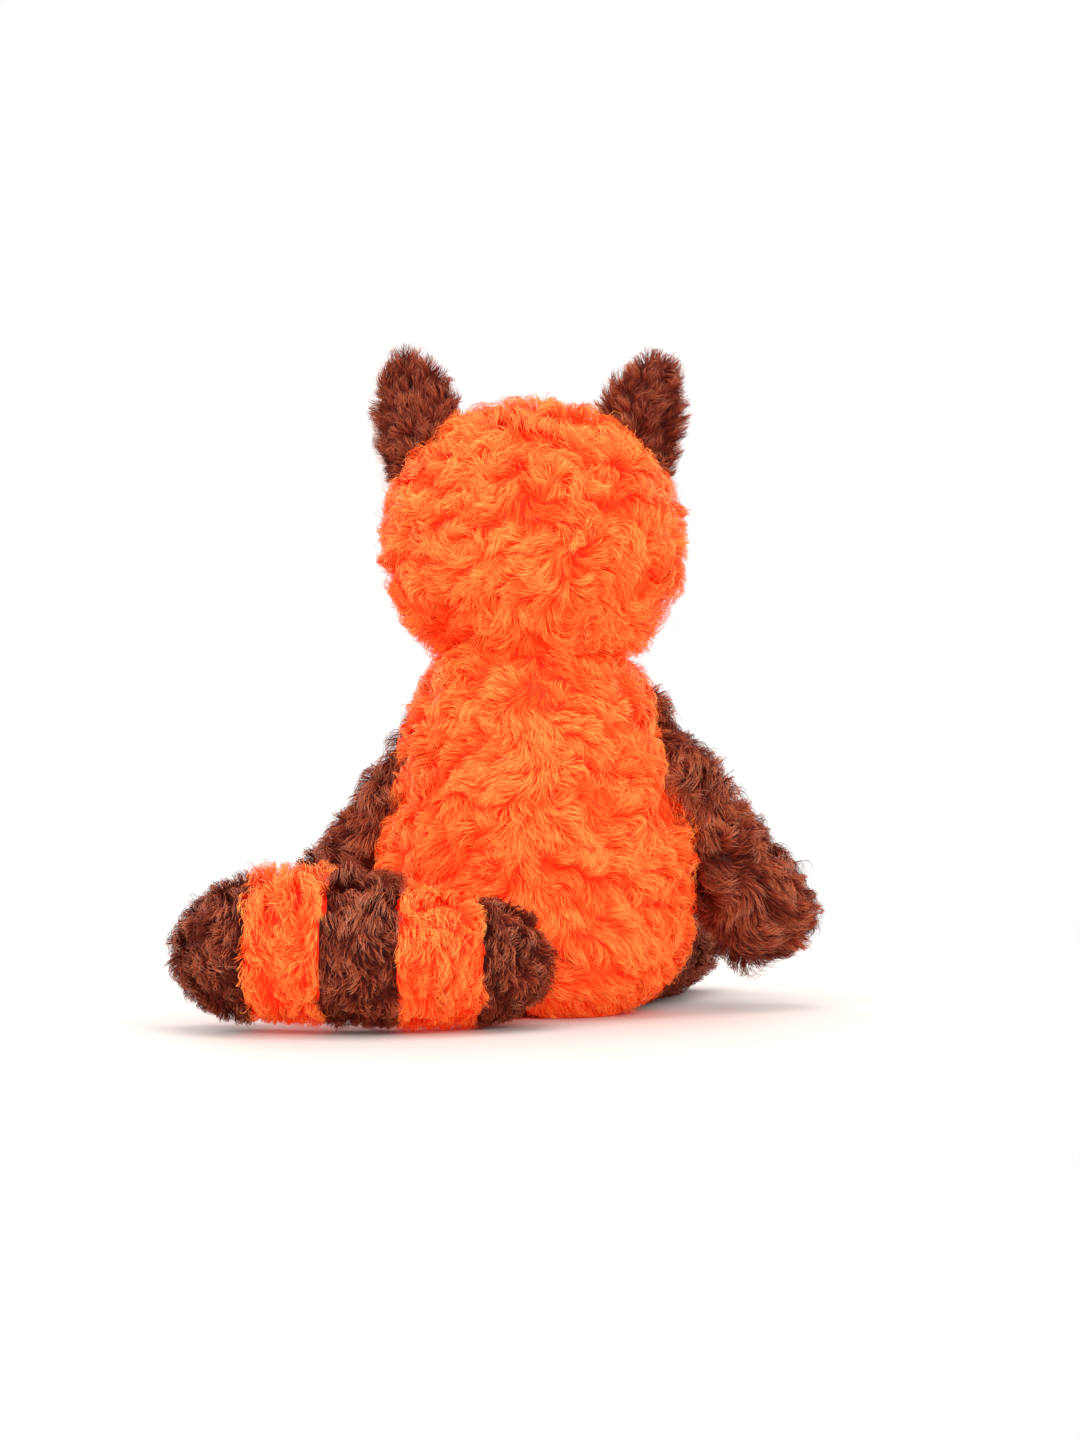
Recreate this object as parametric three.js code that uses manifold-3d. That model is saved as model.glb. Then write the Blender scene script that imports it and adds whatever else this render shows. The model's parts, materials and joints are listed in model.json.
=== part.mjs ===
// A seated plush red panda, in millimetres. +Z is up, the face looks along -Y and +X is the toy's left.
// The origin is the middle of the flat seat. Every fur panel is a shell as thick as its pressed pile,
// and each filling is a separate body inside it.
import * as THREE from 'three';
import { mergeVertices } from 'three/addons/utils/BufferGeometryUtils.js';
import Module from 'manifold-3d';

const wasm = await Module();
wasm.setup();

// Cloth and seams
const pile = 8; // fur cloth with its pile pressed flat
const shortPile = 4; // short-pile cloth of the muzzle
const seamGap = 0.3; // between neighbouring pieces
const jointGap = 0.6; // between pieces that turn against each other
const floorCut = 0.5; // depth of the flat where a soft form meets the floor
const turnStep = 8; // degrees between the places that a turning piece is cleared at

// Torso
const shoulderRadius = 52; // the round top of the torso, which the head and arms turn on
const shoulderHeight = 112; // height of its centre
const bellyHalfWidth = 67;
const bellyHeight = 36;
const bellyDepthShare = 0.77; // half depth over half width at the belly
const flankHalfWidth = 62;
const flankHeight = 74;
const hemHalfWidth = 57;
const hemHeight = 12;
const seatHalfWidth = 42;
const sideSeamY = -12; // plane of the seams between back and belly
const seatPanelHalfWidth = 34;
const seatPanelHalfDepth = 26;
const pelletBagHalfWidth = 30;
const pelletBagHalfDepth = 20;
const pelletBagHeight = 26;

// Head
const headHalfWidth = 63;
const headHalfDepth = 55;
const headHalfHeight = 57;
const headRise = 85; // from the middle of the shoulders' ball up to the head's centre
const headHeight = shoulderHeight + headRise;
const headY = -5;
const earSeamY = -12; // plane of the seam that runs from ear to ear
const muzzleHalfWidth = 27;
const muzzleHalfDepth = 25;
const muzzleHalfHeight = 19;
const muzzleDrop = 16; // below the head's centre
const muzzleHeight = headHeight - muzzleDrop;
const muzzleY = -53;
const cheekX = 41;
const cheekDrop = 19; // below the head's centre
const cheekHeight = headHeight - cheekDrop;
const cheekHalfWidth = 13;
const cheekHalfHeight = 17;
const browX = 25;
const browRise = 28; // above the head's centre
const browHeight = headHeight + browRise;
const browHalfWidth = 11;
const browHalfHeight = 7;

// Moulded eyes and nose with their lock washers
const eyeX = 25;
const eyeRise = 6; // above the head's centre
const eyeHeight = headHeight + eyeRise;
const eyeRadius = 7;
const eyeDome = 4.5;
const noseHalfWidth = 9;
const noseHalfHeight = 6.5;
const noseDome = 7;
const noseRise = 8; // above the muzzle's centre
const noseHeight = muzzleHeight + noseRise;
const stemRadius = 2;
const stemLength = 17;
const washerRadius = 7;
const washerThickness = 1.6;

// Ears
const earX = { left: 44, right: 40 }; // the right ear stands a little nearer the crown
const earY = -10;
const earRootRise = 28; // above the head's centre
const earRootHeight = headHeight + earRootRise;
const earLength = 51;
const earHalfWidth = 18.5;
const earBackThickness = 6;
const earLiningThickness = 3;
const earCup = 6; // how far the ear's edges curl forwards
const earLean = 11; // degrees outwards
const earHingeRise = 44; // above the head's centre
const earHingeHeight = headHeight + earHingeRise;
const earHingeOut = 3; // outwards from the ear's root
const earHingeSlope = 36; // degrees that the ear's root falls towards the outside
const earFold = 20; // degrees each way

// Arms
const shoulderX = { left: 28, right: 34 }; // the left arm hangs a little closer
const shoulderY = -3;
const shoulderRise = 17; // above the middle of the shoulders' ball
const shoulderZ = shoulderHeight + shoulderRise;
const armHingeRise = 6; // height at which the arm's hinge leaves the shoulders' ball, above its middle
const armRadius = 17;
const pawRadius = 22;
const pawX = { left: 94, right: 98 };
const pawY = -22;
const pawZ = 40;
const elbowOut = 1; // how far the arm bows outwards
const pawLength = 21; // past the middle of the paw
const armForward = 75; // degrees
const armBack = 6;

// Legs
const hipX = 34;
const hipY = -20;
const thighRadius = 27;
const ankleRadius = 22;
const ankleX = 57;
const footHalfWidth = 25;
const footHalfDepth = 23;
const footHeight = 61;
const footY = -118;
const soleY = -131;
const soleThickness = 4;
const solePile = 2.5; // margin of fur round the sole
const legLift = 18; // degrees

// Tail
const tailRootX = 17;
const tailRootY = 70;
const tailRootHeight = 26;
const tailRootRadius = 23.5;
const tailBendX = 52;
const tailBendY = 90;
const tailMiddleRadius = 29.5;
const tailMiddleHeight = 32.5;
const tailEndX = 142;
const tailEndY = 68;
const tailEndHeight = 29;
const tailTipRadius = 20;
const tailWaist = 2; // how far each ring draws in at its seams
const tailSeamPlaces = [0.27, 0.435, 0.573, 0.72]; // along the tail, from root to tip
const tailSwing = 28; // degrees away from the body
const tailTuck = 6; // degrees towards the body

// How finely the outside and the inside of the soft forms are divided
const outside = { sides: 22, steps: 13 };
const inside = { sides: 12, steps: 8 };

// Cloth, filling and plastic
const clothOf = (color, roughness) => new THREE.MeshStandardMaterial({ color, roughness, metalness: 0 });
const orangeFur = clothOf(0xfc6a35, 0.95);
const brownFur = clothOf(0x732e22, 0.95);
const creamFur = clothOf(0xf3dfca, 0.95);
const liningFur = clothOf(0xeec6b4, 0.95);
const soleCloth = clothOf(0x55241c, 0.95);
const filling = clothOf(0xf5f3ee, 0.9);
const bagCloth = clothOf(0xd9d3c6, 0.9);
const blackPlastic = clothOf(0x0d0a0a, 0.12);
const washerPlastic = clothOf(0xe8e8e4, 0.5);

// Solids

// A closed geometry with shared vertices and no triangle that has shrunk to a line.
function closedForm(geometry) {
  const plain = geometry.clone();
  plain.deleteAttribute('normal');
  plain.deleteAttribute('uv');
  const merged = mergeVertices(plain, 1e-4);
  const kept = [];
  for (let i = 0; i < merged.index.count; i += 3) {
    const [a, b, c] = [merged.index.getX(i), merged.index.getX(i + 1), merged.index.getX(i + 2)];
    if (a !== b && b !== c && c !== a) kept.push(a, b, c);
  }
  merged.setIndex(kept);
  return merged;
}

function solidOf(geometry) {
  const form = closedForm(geometry);
  return new wasm.Manifold(new wasm.Mesh({
    numProp: 3,
    vertProperties: Float32Array.from(form.attributes.position.array),
    triVerts: Uint32Array.from(form.index.array),
  }));
}

function geometryOf(solid) {
  const mesh = solid.getMesh();
  const geometry = new THREE.BufferGeometry();
  geometry.setAttribute('position', new THREE.BufferAttribute(Float32Array.from(mesh.vertProperties), 3));
  geometry.setIndex(Array.from(mesh.triVerts));
  const flat = geometry.toNonIndexed();
  flat.computeVertexNormals();
  return flat;
}

// The same form with its skin moved inwards, or outwards where the distance is negative.
function inset(geometry, distance) {
  const form = closedForm(geometry);
  form.computeVertexNormals();
  const place = form.attributes.position;
  const normal = form.attributes.normal;
  for (let i = 0; i < place.count; i += 1) {
    place.setXYZ(
      i,
      place.getX(i) - normal.getX(i) * distance,
      place.getY(i) - normal.getY(i) * distance,
      place.getZ(i) - normal.getZ(i) * distance,
    );
  }
  return form;
}

const joined = (solids) => solids.reduce((all, one) => all.add(one));
const cutBy = (solid, cutters) => cutters.reduce((rest, one) => rest.subtract(one), solid);

// A block that reaches far past the toy from a plane, on the side that the normal points to.
function halfSpace(point, normal) {
  const reach = 800;
  const block = new THREE.BoxGeometry(reach, reach, reach).translate(0, 0, reach / 2);
  const turn = new THREE.Quaternion().setFromUnitVectors(new THREE.Vector3(0, 0, 1), normal.clone().normalize());
  return solidOf(block.applyQuaternion(turn).translate(point.x, point.y, point.z));
}

const aboveFloor = halfSpace(new THREE.Vector3(0, 0, 0), new THREE.Vector3(0, 0, 1));

// A solid turned about an axis through a point, in degrees.
function turned(solid, hinge, degrees) {
  const back = new THREE.Matrix4().makeTranslation(-hinge.point.x, -hinge.point.y, -hinge.point.z);
  const turn = new THREE.Matrix4().makeRotationAxis(hinge.axis, THREE.MathUtils.degToRad(degrees));
  const away = new THREE.Matrix4().makeTranslation(hinge.point.x, hinge.point.y, hinge.point.z);
  return solid.transform(away.multiply(turn).multiply(back).elements);
}

// All the room that a fixed neighbour takes up, seen from a piece that turns through its range.
function roomThrough(neighbour, hinge, low, high) {
  const count = Math.ceil((high - low) / turnStep);
  const places = [];
  for (let i = 0; i <= count; i += 1) {
    places.push(turned(neighbour, hinge, -(low + ((high - low) * i) / count)));
  }
  return joined(places);
}

// Forms

// Each form takes how finely it is divided and how far its skin is moved inwards.
function ellipsoid(centre, halfSizes, detail, distance = 0) {
  return new THREE.SphereGeometry(1, detail.sides, detail.steps)
    .rotateX(Math.PI / 2)
    .scale(halfSizes.x - distance, halfSizes.y - distance, halfSizes.z - distance)
    .translate(centre.x, centre.y, centre.z);
}

// A ball whose flat facets all lie outside the true ball.
function clearBall(centre, radius) {
  const detail = { sides: 30, steps: 18 };
  const grown = radius / (Math.cos(Math.PI / detail.sides) * Math.cos(Math.PI / 2 / detail.steps));
  return solidOf(ellipsoid(centre, new THREE.Vector3(grown, grown, grown), detail));
}

// A stuffed limb: round sections along a path, closed at both ends.
// Each section gives its place along the path and its radius.
function limb(path, sections, sides, upright) {
  const points = [];
  const rings = sections.map(({ at, radius }) => {
    const centre = path.getPointAt(at);
    const along = path.getTangentAt(at);
    const across = new THREE.Vector3().crossVectors(along, upright).normalize();
    const over = new THREE.Vector3().crossVectors(across, along);
    for (let i = 0; i < sides; i += 1) {
      const angle = (2 * Math.PI * i) / sides;
      points.push(centre.clone()
        .addScaledVector(across, radius * Math.cos(angle))
        .addScaledVector(over, radius * Math.sin(angle)));
    }
    return centre;
  });
  const first = points.push(rings[0]) - 1;
  const last = points.push(rings[rings.length - 1]) - 1;
  const faces = [];
  for (let ring = 0; ring < rings.length; ring += 1) {
    for (let i = 0; i < sides; i += 1) {
      const here = ring * sides + i;
      const next = ring * sides + ((i + 1) % sides);
      if (ring === 0) faces.push(first, here, next);
      if (ring === rings.length - 1) faces.push(last, next, here);
      else faces.push(here, here + sides, next, next, here + sides, next + sides);
    }
  }
  const geometry = new THREE.BufferGeometry().setFromPoints(points);
  geometry.setIndex(faces);
  return geometry;
}

// Sections from one place to another along a path. A round end closes like a dome.
function sectionsOf(path, radiusAt, count, distance, stretch) {
  const length = path.getLength();
  const { roundStart = false, roundEnd = false } = stretch;
  const from = (stretch.from ?? 0) + (roundStart ? distance / length : 0);
  const to = (stretch.to ?? 1) - (roundEnd ? distance / length : 0);
  const smallest = 0.02; // share of the radius left at a round end
  const sections = [];
  for (let i = 0; i <= count; i += 1) {
    const even = i / count;
    const eased = 0.5 - 0.5 * Math.cos(Math.PI * even);
    const share = roundStart && roundEnd ? eased
      : roundStart ? 1 - Math.cos((Math.PI / 2) * even)
        : roundEnd ? Math.sin((Math.PI / 2) * even)
          : even;
    const at = from + (to - from) * share;
    const full = radiusAt(at) - distance;
    const startReach = roundStart ? Math.min(1, ((at - from) * length) / full) : 1;
    const endReach = roundEnd ? Math.min(1, ((to - at) * length) / full) : 1;
    const reach = Math.min(startReach, endReach);
    sections.push({ at, radius: full * Math.max(smallest, Math.sqrt(1 - (1 - reach) ** 2)) });
  }
  return sections;
}

// Torso: a pear whose top is part of a ball

const shoulderBallCentre = new THREE.Vector3(0, 0, shoulderHeight);

function torsoForm(detail, distance = 0) {
  const flank = new THREE.SplineCurve([
    new THREE.Vector2(seatHalfWidth, 0),
    new THREE.Vector2(hemHalfWidth, hemHeight),
    new THREE.Vector2(bellyHalfWidth, bellyHeight),
    new THREE.Vector2(flankHalfWidth, flankHeight),
    new THREE.Vector2(shoulderRadius, shoulderHeight),
  ]);
  const profile = [new THREE.Vector2(0, -floorCut), ...flank.getSpacedPoints(detail.steps)];
  const domeSteps = Math.round(detail.steps / 2);
  for (let i = 1; i <= domeSteps; i += 1) {
    const angle = ((Math.PI / 2) * i) / domeSteps;
    profile.push(new THREE.Vector2(
      i === domeSteps ? 0 : shoulderRadius * Math.cos(angle),
      shoulderHeight + shoulderRadius * Math.sin(angle),
    ));
  }
  const form = new THREE.LatheGeometry(profile, detail.sides).rotateX(Math.PI / 2);
  const place = form.attributes.position;
  for (let i = 0; i < place.count; i += 1) {
    const share = THREE.MathUtils.smoothstep(place.getZ(i), bellyHeight, shoulderHeight);
    place.setY(i, place.getY(i) * THREE.MathUtils.lerp(bellyDepthShare, 1, share));
  }
  return inset(form, distance);
}

function makeTorso() {
  const outer = solidOf(torsoForm(outside)).intersect(aboveFloor);
  const shell = outer.subtract(solidOf(torsoForm(inside, pile)));
  const seatDisc = (margin) => solidOf(new THREE.CylinderGeometry(1, 1, 4 * pile, outside.sides)
    .rotateX(Math.PI / 2)
    .scale(seatPanelHalfWidth + margin, seatPanelHalfDepth + margin, 1));
  const aroundSeat = shell.subtract(seatDisc(seamGap));
  const seam = new THREE.Vector3(0, sideSeamY, 0);
  const behindSeam = halfSpace(seam, new THREE.Vector3(0, 1, 0));
  const beforeSeam = halfSpace(seam.clone().setY(sideSeamY - seamGap), new THREE.Vector3(0, -1, 0));
  const bag = (margin) => ellipsoid(
    new THREE.Vector3(0, 0, pile + seamGap + pelletBagHeight / 2),
    new THREE.Vector3(pelletBagHalfWidth, pelletBagHalfDepth, pelletBagHeight / 2),
    inside,
    -margin,
  );
  const stuffing = solidOf(torsoForm(inside, pile + seamGap));
  const bagRoom = joined([solidOf(bag(seamGap)), solidOf(bag(seamGap).translate(0, 0, -pile))]);
  return {
    outer,
    clear: solidOf(torsoForm(outside, -jointGap)),
    pieces: [
      ['back_cover', aroundSeat.intersect(behindSeam), orangeFur],
      ['belly_cover', aroundSeat.intersect(beforeSeam), brownFur],
      ['seat_panel', shell.intersect(seatDisc(0)), brownFur],
      ['torso_stuffing', stuffing.subtract(bagRoom), filling],
      ['pellet_bag', solidOf(bag(0)), bagCloth],
    ],
  };
}

// Head: a broad round form that sits on the torso's ball

const headCentre = new THREE.Vector3(0, headY, headHeight);

function headForm(detail, distance = 0) {
  return ellipsoid(headCentre, new THREE.Vector3(headHalfWidth, headHalfDepth, headHalfHeight), detail, distance);
}

// The point of the face at a given place, as seen from the front, and the way it faces.
function faceAt(x, z) {
  const across = x / headHalfWidth;
  const up = (z - headHeight) / headHalfHeight;
  const point = new THREE.Vector3(x, headY - headHalfDepth * Math.sqrt(1 - across ** 2 - up ** 2), z);
  const normal = new THREE.Vector3(
    across / headHalfWidth,
    (point.y - headY) / headHalfDepth ** 2,
    up / headHalfHeight,
  ).normalize();
  return { point, normal };
}

// A rod along the way that a moulded piece faces. Heights count from the face outwards.
function rodAt(seat, radius, low, high, sides = 8) {
  const turn = new THREE.Quaternion().setFromUnitVectors(new THREE.Vector3(0, 0, 1), seat.normal);
  return new THREE.CylinderGeometry(radius, radius, high - low, sides)
    .rotateX(Math.PI / 2)
    .translate(0, 0, (low + high) / 2)
    .applyQuaternion(turn)
    .translate(seat.point.x, seat.point.y, seat.point.z);
}

// A moulded eye or nose: a dome on a flange, with a stem behind it, in its own frame.
function mouldedDome(halfWidth, halfHeight, dome) {
  const rings = 4;
  const edge = 1; // thickness of the rim
  const profile = [new THREE.Vector2(0, seamGap)];
  for (let i = 0; i <= rings; i += 1) {
    const angle = ((Math.PI / 2) * i) / rings;
    profile.push(new THREE.Vector2(i === rings ? 0 : Math.cos(angle), edge + (dome - edge) * Math.sin(angle)));
  }
  profile.splice(1, 0, new THREE.Vector2(1, seamGap));
  const cap = new THREE.LatheGeometry(profile, 16).rotateX(Math.PI / 2).scale(halfWidth, halfHeight, 1);
  const stem = new THREE.CylinderGeometry(stemRadius, stemRadius, stemLength, 8)
    .rotateX(Math.PI / 2)
    .translate(0, 0, 1 - stemLength / 2);
  return solidOf(cap).add(solidOf(stem));
}

// A lock washer behind cloth of a given thickness, and the flat seat that it presses for itself.
function washerAt(seat, cloth) {
  const low = -cloth - seamGap - washerThickness;
  const disc = solidOf(rodAt(seat, washerRadius, low, -cloth - seamGap, 14));
  return disc.subtract(solidOf(rodAt(seat, stemRadius + seamGap / 3, low - pile, pile)));
}

function roomForWasher(seat, cloth) {
  const low = -cloth - washerThickness - 2 * seamGap;
  return solidOf(rodAt(seat, washerRadius + seamGap, low, -cloth, 14));
}

function makeHead() {
  const neckCut = clearBall(shoulderBallCentre, shoulderRadius + jointGap);
  const outer = solidOf(headForm(outside)).subtract(neckCut);
  const shell = outer.subtract(solidOf(headForm(inside, pile)));
  const seats = [
    { name: 'eye_left', ...faceAt(eyeX, eyeHeight) },
    { name: 'eye_right', ...faceAt(-eyeX, eyeHeight) },
  ];
  const patch = (x, z, halfWidth, halfHeight, margin) => solidOf(
    new THREE.CylinderGeometry(1, 1, headHalfDepth, outside.sides)
      .scale(halfWidth + margin, 1, halfHeight + margin)
      .translate(x, headY - headHalfDepth / 2 + earSeamY, z),
  );
  const patches = [
    ['cheek_patch_left', cheekX, cheekHeight, cheekHalfWidth, cheekHalfHeight],
    ['cheek_patch_right', -cheekX, cheekHeight, cheekHalfWidth, cheekHalfHeight],
    ['brow_patch_left', browX, browHeight, browHalfWidth, browHalfHeight],
    ['brow_patch_right', -browX, browHeight, browHalfWidth, browHalfHeight],
  ];
  const seam = new THREE.Vector3(0, earSeamY, 0);
  const beforeSeam = halfSpace(seam.clone().setY(earSeamY - seamGap), new THREE.Vector3(0, -1, 0));
  const faceShell = shell.intersect(beforeSeam);
  const patchRoom = patches.map(([, ...sizes]) => patch(...sizes, seamGap));
  const stemRoom = seats.map((seat) => solidOf(rodAt(seat, stemRadius + seamGap, -stemLength - seamGap, pile)));
  const washerRoom = seats.map((seat) => roomForWasher(seat, pile));
  const stuffing = solidOf(headForm(inside, pile + seamGap)).subtract(neckCut);
  const pieces = [
    ['head_back_cover', shell.intersect(halfSpace(seam, new THREE.Vector3(0, 1, 0))), orangeFur],
    ['face_cover', cutBy(faceShell, [...patchRoom, ...stemRoom, ...washerRoom]), orangeFur],
    ['head_stuffing', cutBy(stuffing, [...stemRoom, ...washerRoom]), filling],
  ];
  for (const [name, ...sizes] of patches) {
    pieces.push([name, faceShell.intersect(patch(...sizes, 0)), creamFur]);
  }
  return { outer, pieces, seats, clear: solidOf(headForm(outside, -jointGap)) };
}

function makeMuzzle() {
  const form = (detail, distance) => solidOf(ellipsoid(
    new THREE.Vector3(0, muzzleY, muzzleHeight),
    new THREE.Vector3(muzzleHalfWidth, muzzleHalfDepth, muzzleHalfHeight),
    { sides: detail.sides, steps: inside.steps },
    distance,
  ));
  const headRoom = solidOf(headForm(outside, -seamGap));
  const up = (noseHeight - muzzleHeight) / muzzleHalfHeight;
  const noseSeat = {
    name: 'nose',
    point: new THREE.Vector3(0, muzzleY - muzzleHalfDepth * Math.sqrt(1 - up ** 2), noseHeight),
    normal: new THREE.Vector3(0, -Math.sqrt(1 - up ** 2) / muzzleHalfDepth, up / muzzleHalfHeight).normalize(),
  };
  const stemRoom = solidOf(rodAt(noseSeat, stemRadius + seamGap, -stemLength - seamGap, shortPile));
  const washerRoom = roomForWasher(noseSeat, shortPile);
  const shell = form(outside, 0).subtract(form(inside, shortPile));
  const stuffing = form(inside, shortPile + seamGap);
  return {
    noseSeat,
    pieces: [
      ['muzzle_cover', cutBy(shell, [headRoom, stemRoom, washerRoom]), creamFur],
      ['muzzle_stuffing', cutBy(stuffing, [headRoom, stemRoom, washerRoom]), filling],
      ['nose_washer', washerAt(noseSeat, shortPile), washerPlastic],
    ],
  };
}

// Ears: a fur back and a lining, cupped forwards

const sideOf = { left: 1, right: -1 };

function earHinge(sideName) {
  const side = sideOf[sideName];
  const slope = THREE.MathUtils.degToRad(earHingeSlope);
  return {
    point: new THREE.Vector3(side * (earX[sideName] + earHingeOut), earY, earHingeHeight),
    axis: new THREE.Vector3(Math.cos(slope), 0, -side * Math.sin(slope)),
  };
}

// One layer of the ear, from the middle sheet to a rounded face on one side.
function earLayer(thickness, facing, sideName) {
  const rings = 9;
  const arc = 8;
  const points = [];
  const width = new THREE.SplineCurve([
    new THREE.Vector2(0, 0.92),
    new THREE.Vector2(0.3, 1),
    new THREE.Vector2(0.62, 0.89),
    new THREE.Vector2(0.87, 0.6),
    new THREE.Vector2(1, 0.2),
  ]);
  for (let ring = 0; ring <= rings; ring += 1) {
    const { x: up, y: share } = width.getPoint(ring / rings);
    const halfWidth = earHalfWidth * share;
    for (let i = 0; i < 2 * arc; i += 1) {
      const round = i <= arc;
      const angle = (Math.PI * i) / arc;
      const x = round ? halfWidth * Math.cos(angle) : halfWidth * (-1 + (2 * (i - arc)) / arc);
      const depth = round ? thickness * Math.sin(angle) * Math.sqrt(share) : 0;
      const cup = -earCup * (x / earHalfWidth) ** 2;
      points.push(new THREE.Vector3(x, facing * (seamGap / 2 + depth) + cup, up * earLength));
    }
  }
  const count = 2 * arc;
  const faces = [];
  for (let ring = 0; ring < rings; ring += 1) {
    for (let i = 0; i < count; i += 1) {
      const here = ring * count + i;
      const next = ring * count + ((i + 1) % count);
      faces.push(here, next, here + count, next, next + count, here + count);
    }
  }
  const root = points.push(new THREE.Vector3(0, (facing * thickness) / 2, 0)) - 1;
  const tip = points.push(new THREE.Vector3(0, (facing * thickness) / 4, earLength)) - 1;
  for (let i = 0; i < count; i += 1) {
    const next = (i + 1) % count;
    faces.push(root, next, i);
    faces.push(tip, rings * count + i, rings * count + next);
  }
  if (facing < 0) faces.reverse();
  const geometry = new THREE.BufferGeometry().setFromPoints(points);
  geometry.setIndex(faces);
  return geometry
    .rotateY(sideOf[sideName] * THREE.MathUtils.degToRad(earLean))
    .translate(sideOf[sideName] * earX[sideName], earY, earRootHeight);
}

function makeEar(sideName, head) {
  const room = roomThrough(head.clear, earHinge(sideName), -earFold, earFold);
  return [
    [`ear_${sideName}_back`, solidOf(earLayer(earBackThickness, 1, sideName)).subtract(room), brownFur],
    [`ear_${sideName}_lining`, solidOf(earLayer(earLiningThickness, -1, sideName)).subtract(room), liningFur],
  ];
}

// Arms hang from the shoulders and lie against the flanks

function armHinge(sideName) {
  const side = sideOf[sideName];
  const point = new THREE.Vector3(side * shoulderX[sideName], shoulderY, shoulderHeight + armHingeRise);
  return { point, axis: point.clone().sub(shoulderBallCentre).normalize().multiplyScalar(side) };
}

function armForm(sideName, detail, distance = 0) {
  const side = sideOf[sideName];
  const shoulder = new THREE.Vector3(side * shoulderX[sideName], shoulderY, shoulderZ);
  const paw = new THREE.Vector3(side * pawX[sideName], pawY, pawZ);
  const elbow = shoulder.clone().lerp(paw, 0.5).add(new THREE.Vector3(side * elbowOut, 0, elbowOut / 2));
  const end = paw.clone().add(paw.clone().sub(elbow).setLength(pawLength));
  const start = shoulder.clone().add(shoulder.clone().sub(elbow).setLength(armRadius / 2));
  const path = new THREE.CatmullRomCurve3([start, shoulder, elbow, paw, end]);
  const pawPlace = 1 - pawLength / path.getLength();
  const radiusAt = (at) => THREE.MathUtils.lerp(
    armRadius,
    pawRadius,
    THREE.MathUtils.smoothstep(at, 0.5, pawPlace),
  );
  const sections = sectionsOf(path, radiusAt, detail.steps, distance, { roundStart: true, roundEnd: true });
  return limb(path, sections, Math.round(detail.sides * 0.7), new THREE.Vector3(0, 1, 0));
}

function makeArm(sideName, torso) {
  const turn = armHinge(sideName);
  const [low, high] = [-armForward, armBack];
  const room = [
    clearBall(shoulderBallCentre, shoulderRadius + jointGap),
    roomThrough(torso.clear, turn, low, high),
  ];
  const shell = solidOf(armForm(sideName, outside)).subtract(solidOf(armForm(sideName, inside, pile)));
  const stuffing = solidOf(armForm(sideName, inside, pile + seamGap));
  return [
    [`arm_${sideName}_cover`, cutBy(shell, room), brownFur],
    [`arm_${sideName}_stuffing`, cutBy(stuffing, room), filling],
  ];
}

// Legs point forwards and a little out, with the soles upright

function legHinge(side) {
  return {
    point: new THREE.Vector3(side * hipX, hipY, thighRadius),
    axis: new THREE.Vector3(-1, 0, 0),
  };
}

function legForm(side, detail, distance) {
  const path = new THREE.LineCurve3(
    new THREE.Vector3(side * hipX, hipY, thighRadius - floorCut),
    new THREE.Vector3(side * ankleX, footY, ankleRadius - floorCut),
  );
  const radiusAt = (at) => THREE.MathUtils.lerp(thighRadius, ankleRadius, at);
  const sections = sectionsOf(path, radiusAt, Math.round(detail.steps * 0.5), distance, { roundEnd: true });
  const sides = Math.round(detail.sides * 0.7);
  const foot = ellipsoid(
    new THREE.Vector3(side * ankleX, footY, footHeight / 2),
    new THREE.Vector3(footHalfWidth, footHalfDepth, footHeight / 2 + floorCut),
    { sides, steps: Math.round(detail.steps * 0.7) },
    distance,
  );
  const shank = solidOf(limb(path, sections, sides, new THREE.Vector3(0, 0, 1)));
  return shank.add(solidOf(foot)).intersect(aboveFloor);
}

function makeLeg(sideName, torso) {
  const side = sideOf[sideName];
  const room = roomThrough(torso.clear, legHinge(side), 0, legLift);
  const soleCut = halfSpace(new THREE.Vector3(0, soleY, 0), new THREE.Vector3(0, -1, 0));
  const shell = legForm(side, outside, 0).subtract(legForm(side, inside, pile));
  const drop = (1 - ((soleY - footY) / footHalfDepth) ** 2) ** 0.5;
  const sole = new THREE.CylinderGeometry(1, 1, soleThickness, outside.sides)
    .scale(footHalfWidth * drop - solePile, 1, (footHeight / 2) * drop - solePile)
    .translate(side * ankleX, soleY - seamGap - soleThickness / 2, footHeight / 2);
  return [
    [`leg_${sideName}_cover`, cutBy(shell, [room, soleCut]), brownFur],
    [`leg_${sideName}_stuffing`, cutBy(legForm(side, inside, pile + seamGap), [room, soleCut]), filling],
    [`foot_${sideName}_sole`, solidOf(sole), soleCloth],
  ];
}

// Tail: five sewn rings that curve round the toy's left side

const tailHinge = { point: new THREE.Vector3(tailRootX, tailRootY, 0), axis: new THREE.Vector3(0, 0, 1) };

const tailRootReach = tailRootRadius * Math.SQRT1_2; // the root's round end, along X and along Y

const tailPath = new THREE.CatmullRomCurve3([
  new THREE.Vector3(tailRootX - tailRootReach, tailRootY - tailRootReach, tailRootHeight),
  new THREE.Vector3(tailRootX, tailRootY, tailRootHeight),
  new THREE.Vector3(tailBendX, tailBendY, (tailRootHeight + tailMiddleHeight) / 2),
  new THREE.Vector3((tailBendX + tailEndX) / 2, tailBendY, tailMiddleHeight),
  new THREE.Vector3(tailEndX, tailEndY, tailEndHeight),
]);

function tailRadius(at) {
  const swell = new THREE.SplineCurve([
    new THREE.Vector2(0, tailRootRadius),
    new THREE.Vector2(0.3, (tailRootRadius + tailMiddleRadius) / 2 + 1),
    new THREE.Vector2(0.7, tailMiddleRadius),
    new THREE.Vector2(1, tailTipRadius),
  ]);
  const seamReach = 0.03;
  const drawnIn = tailSeamPlaces.reduce((sum, place) => sum + Math.exp(-(((at - place) / seamReach) ** 2)), 0);
  return swell.getPoint(at).y - tailWaist * drawnIn;
}

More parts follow.
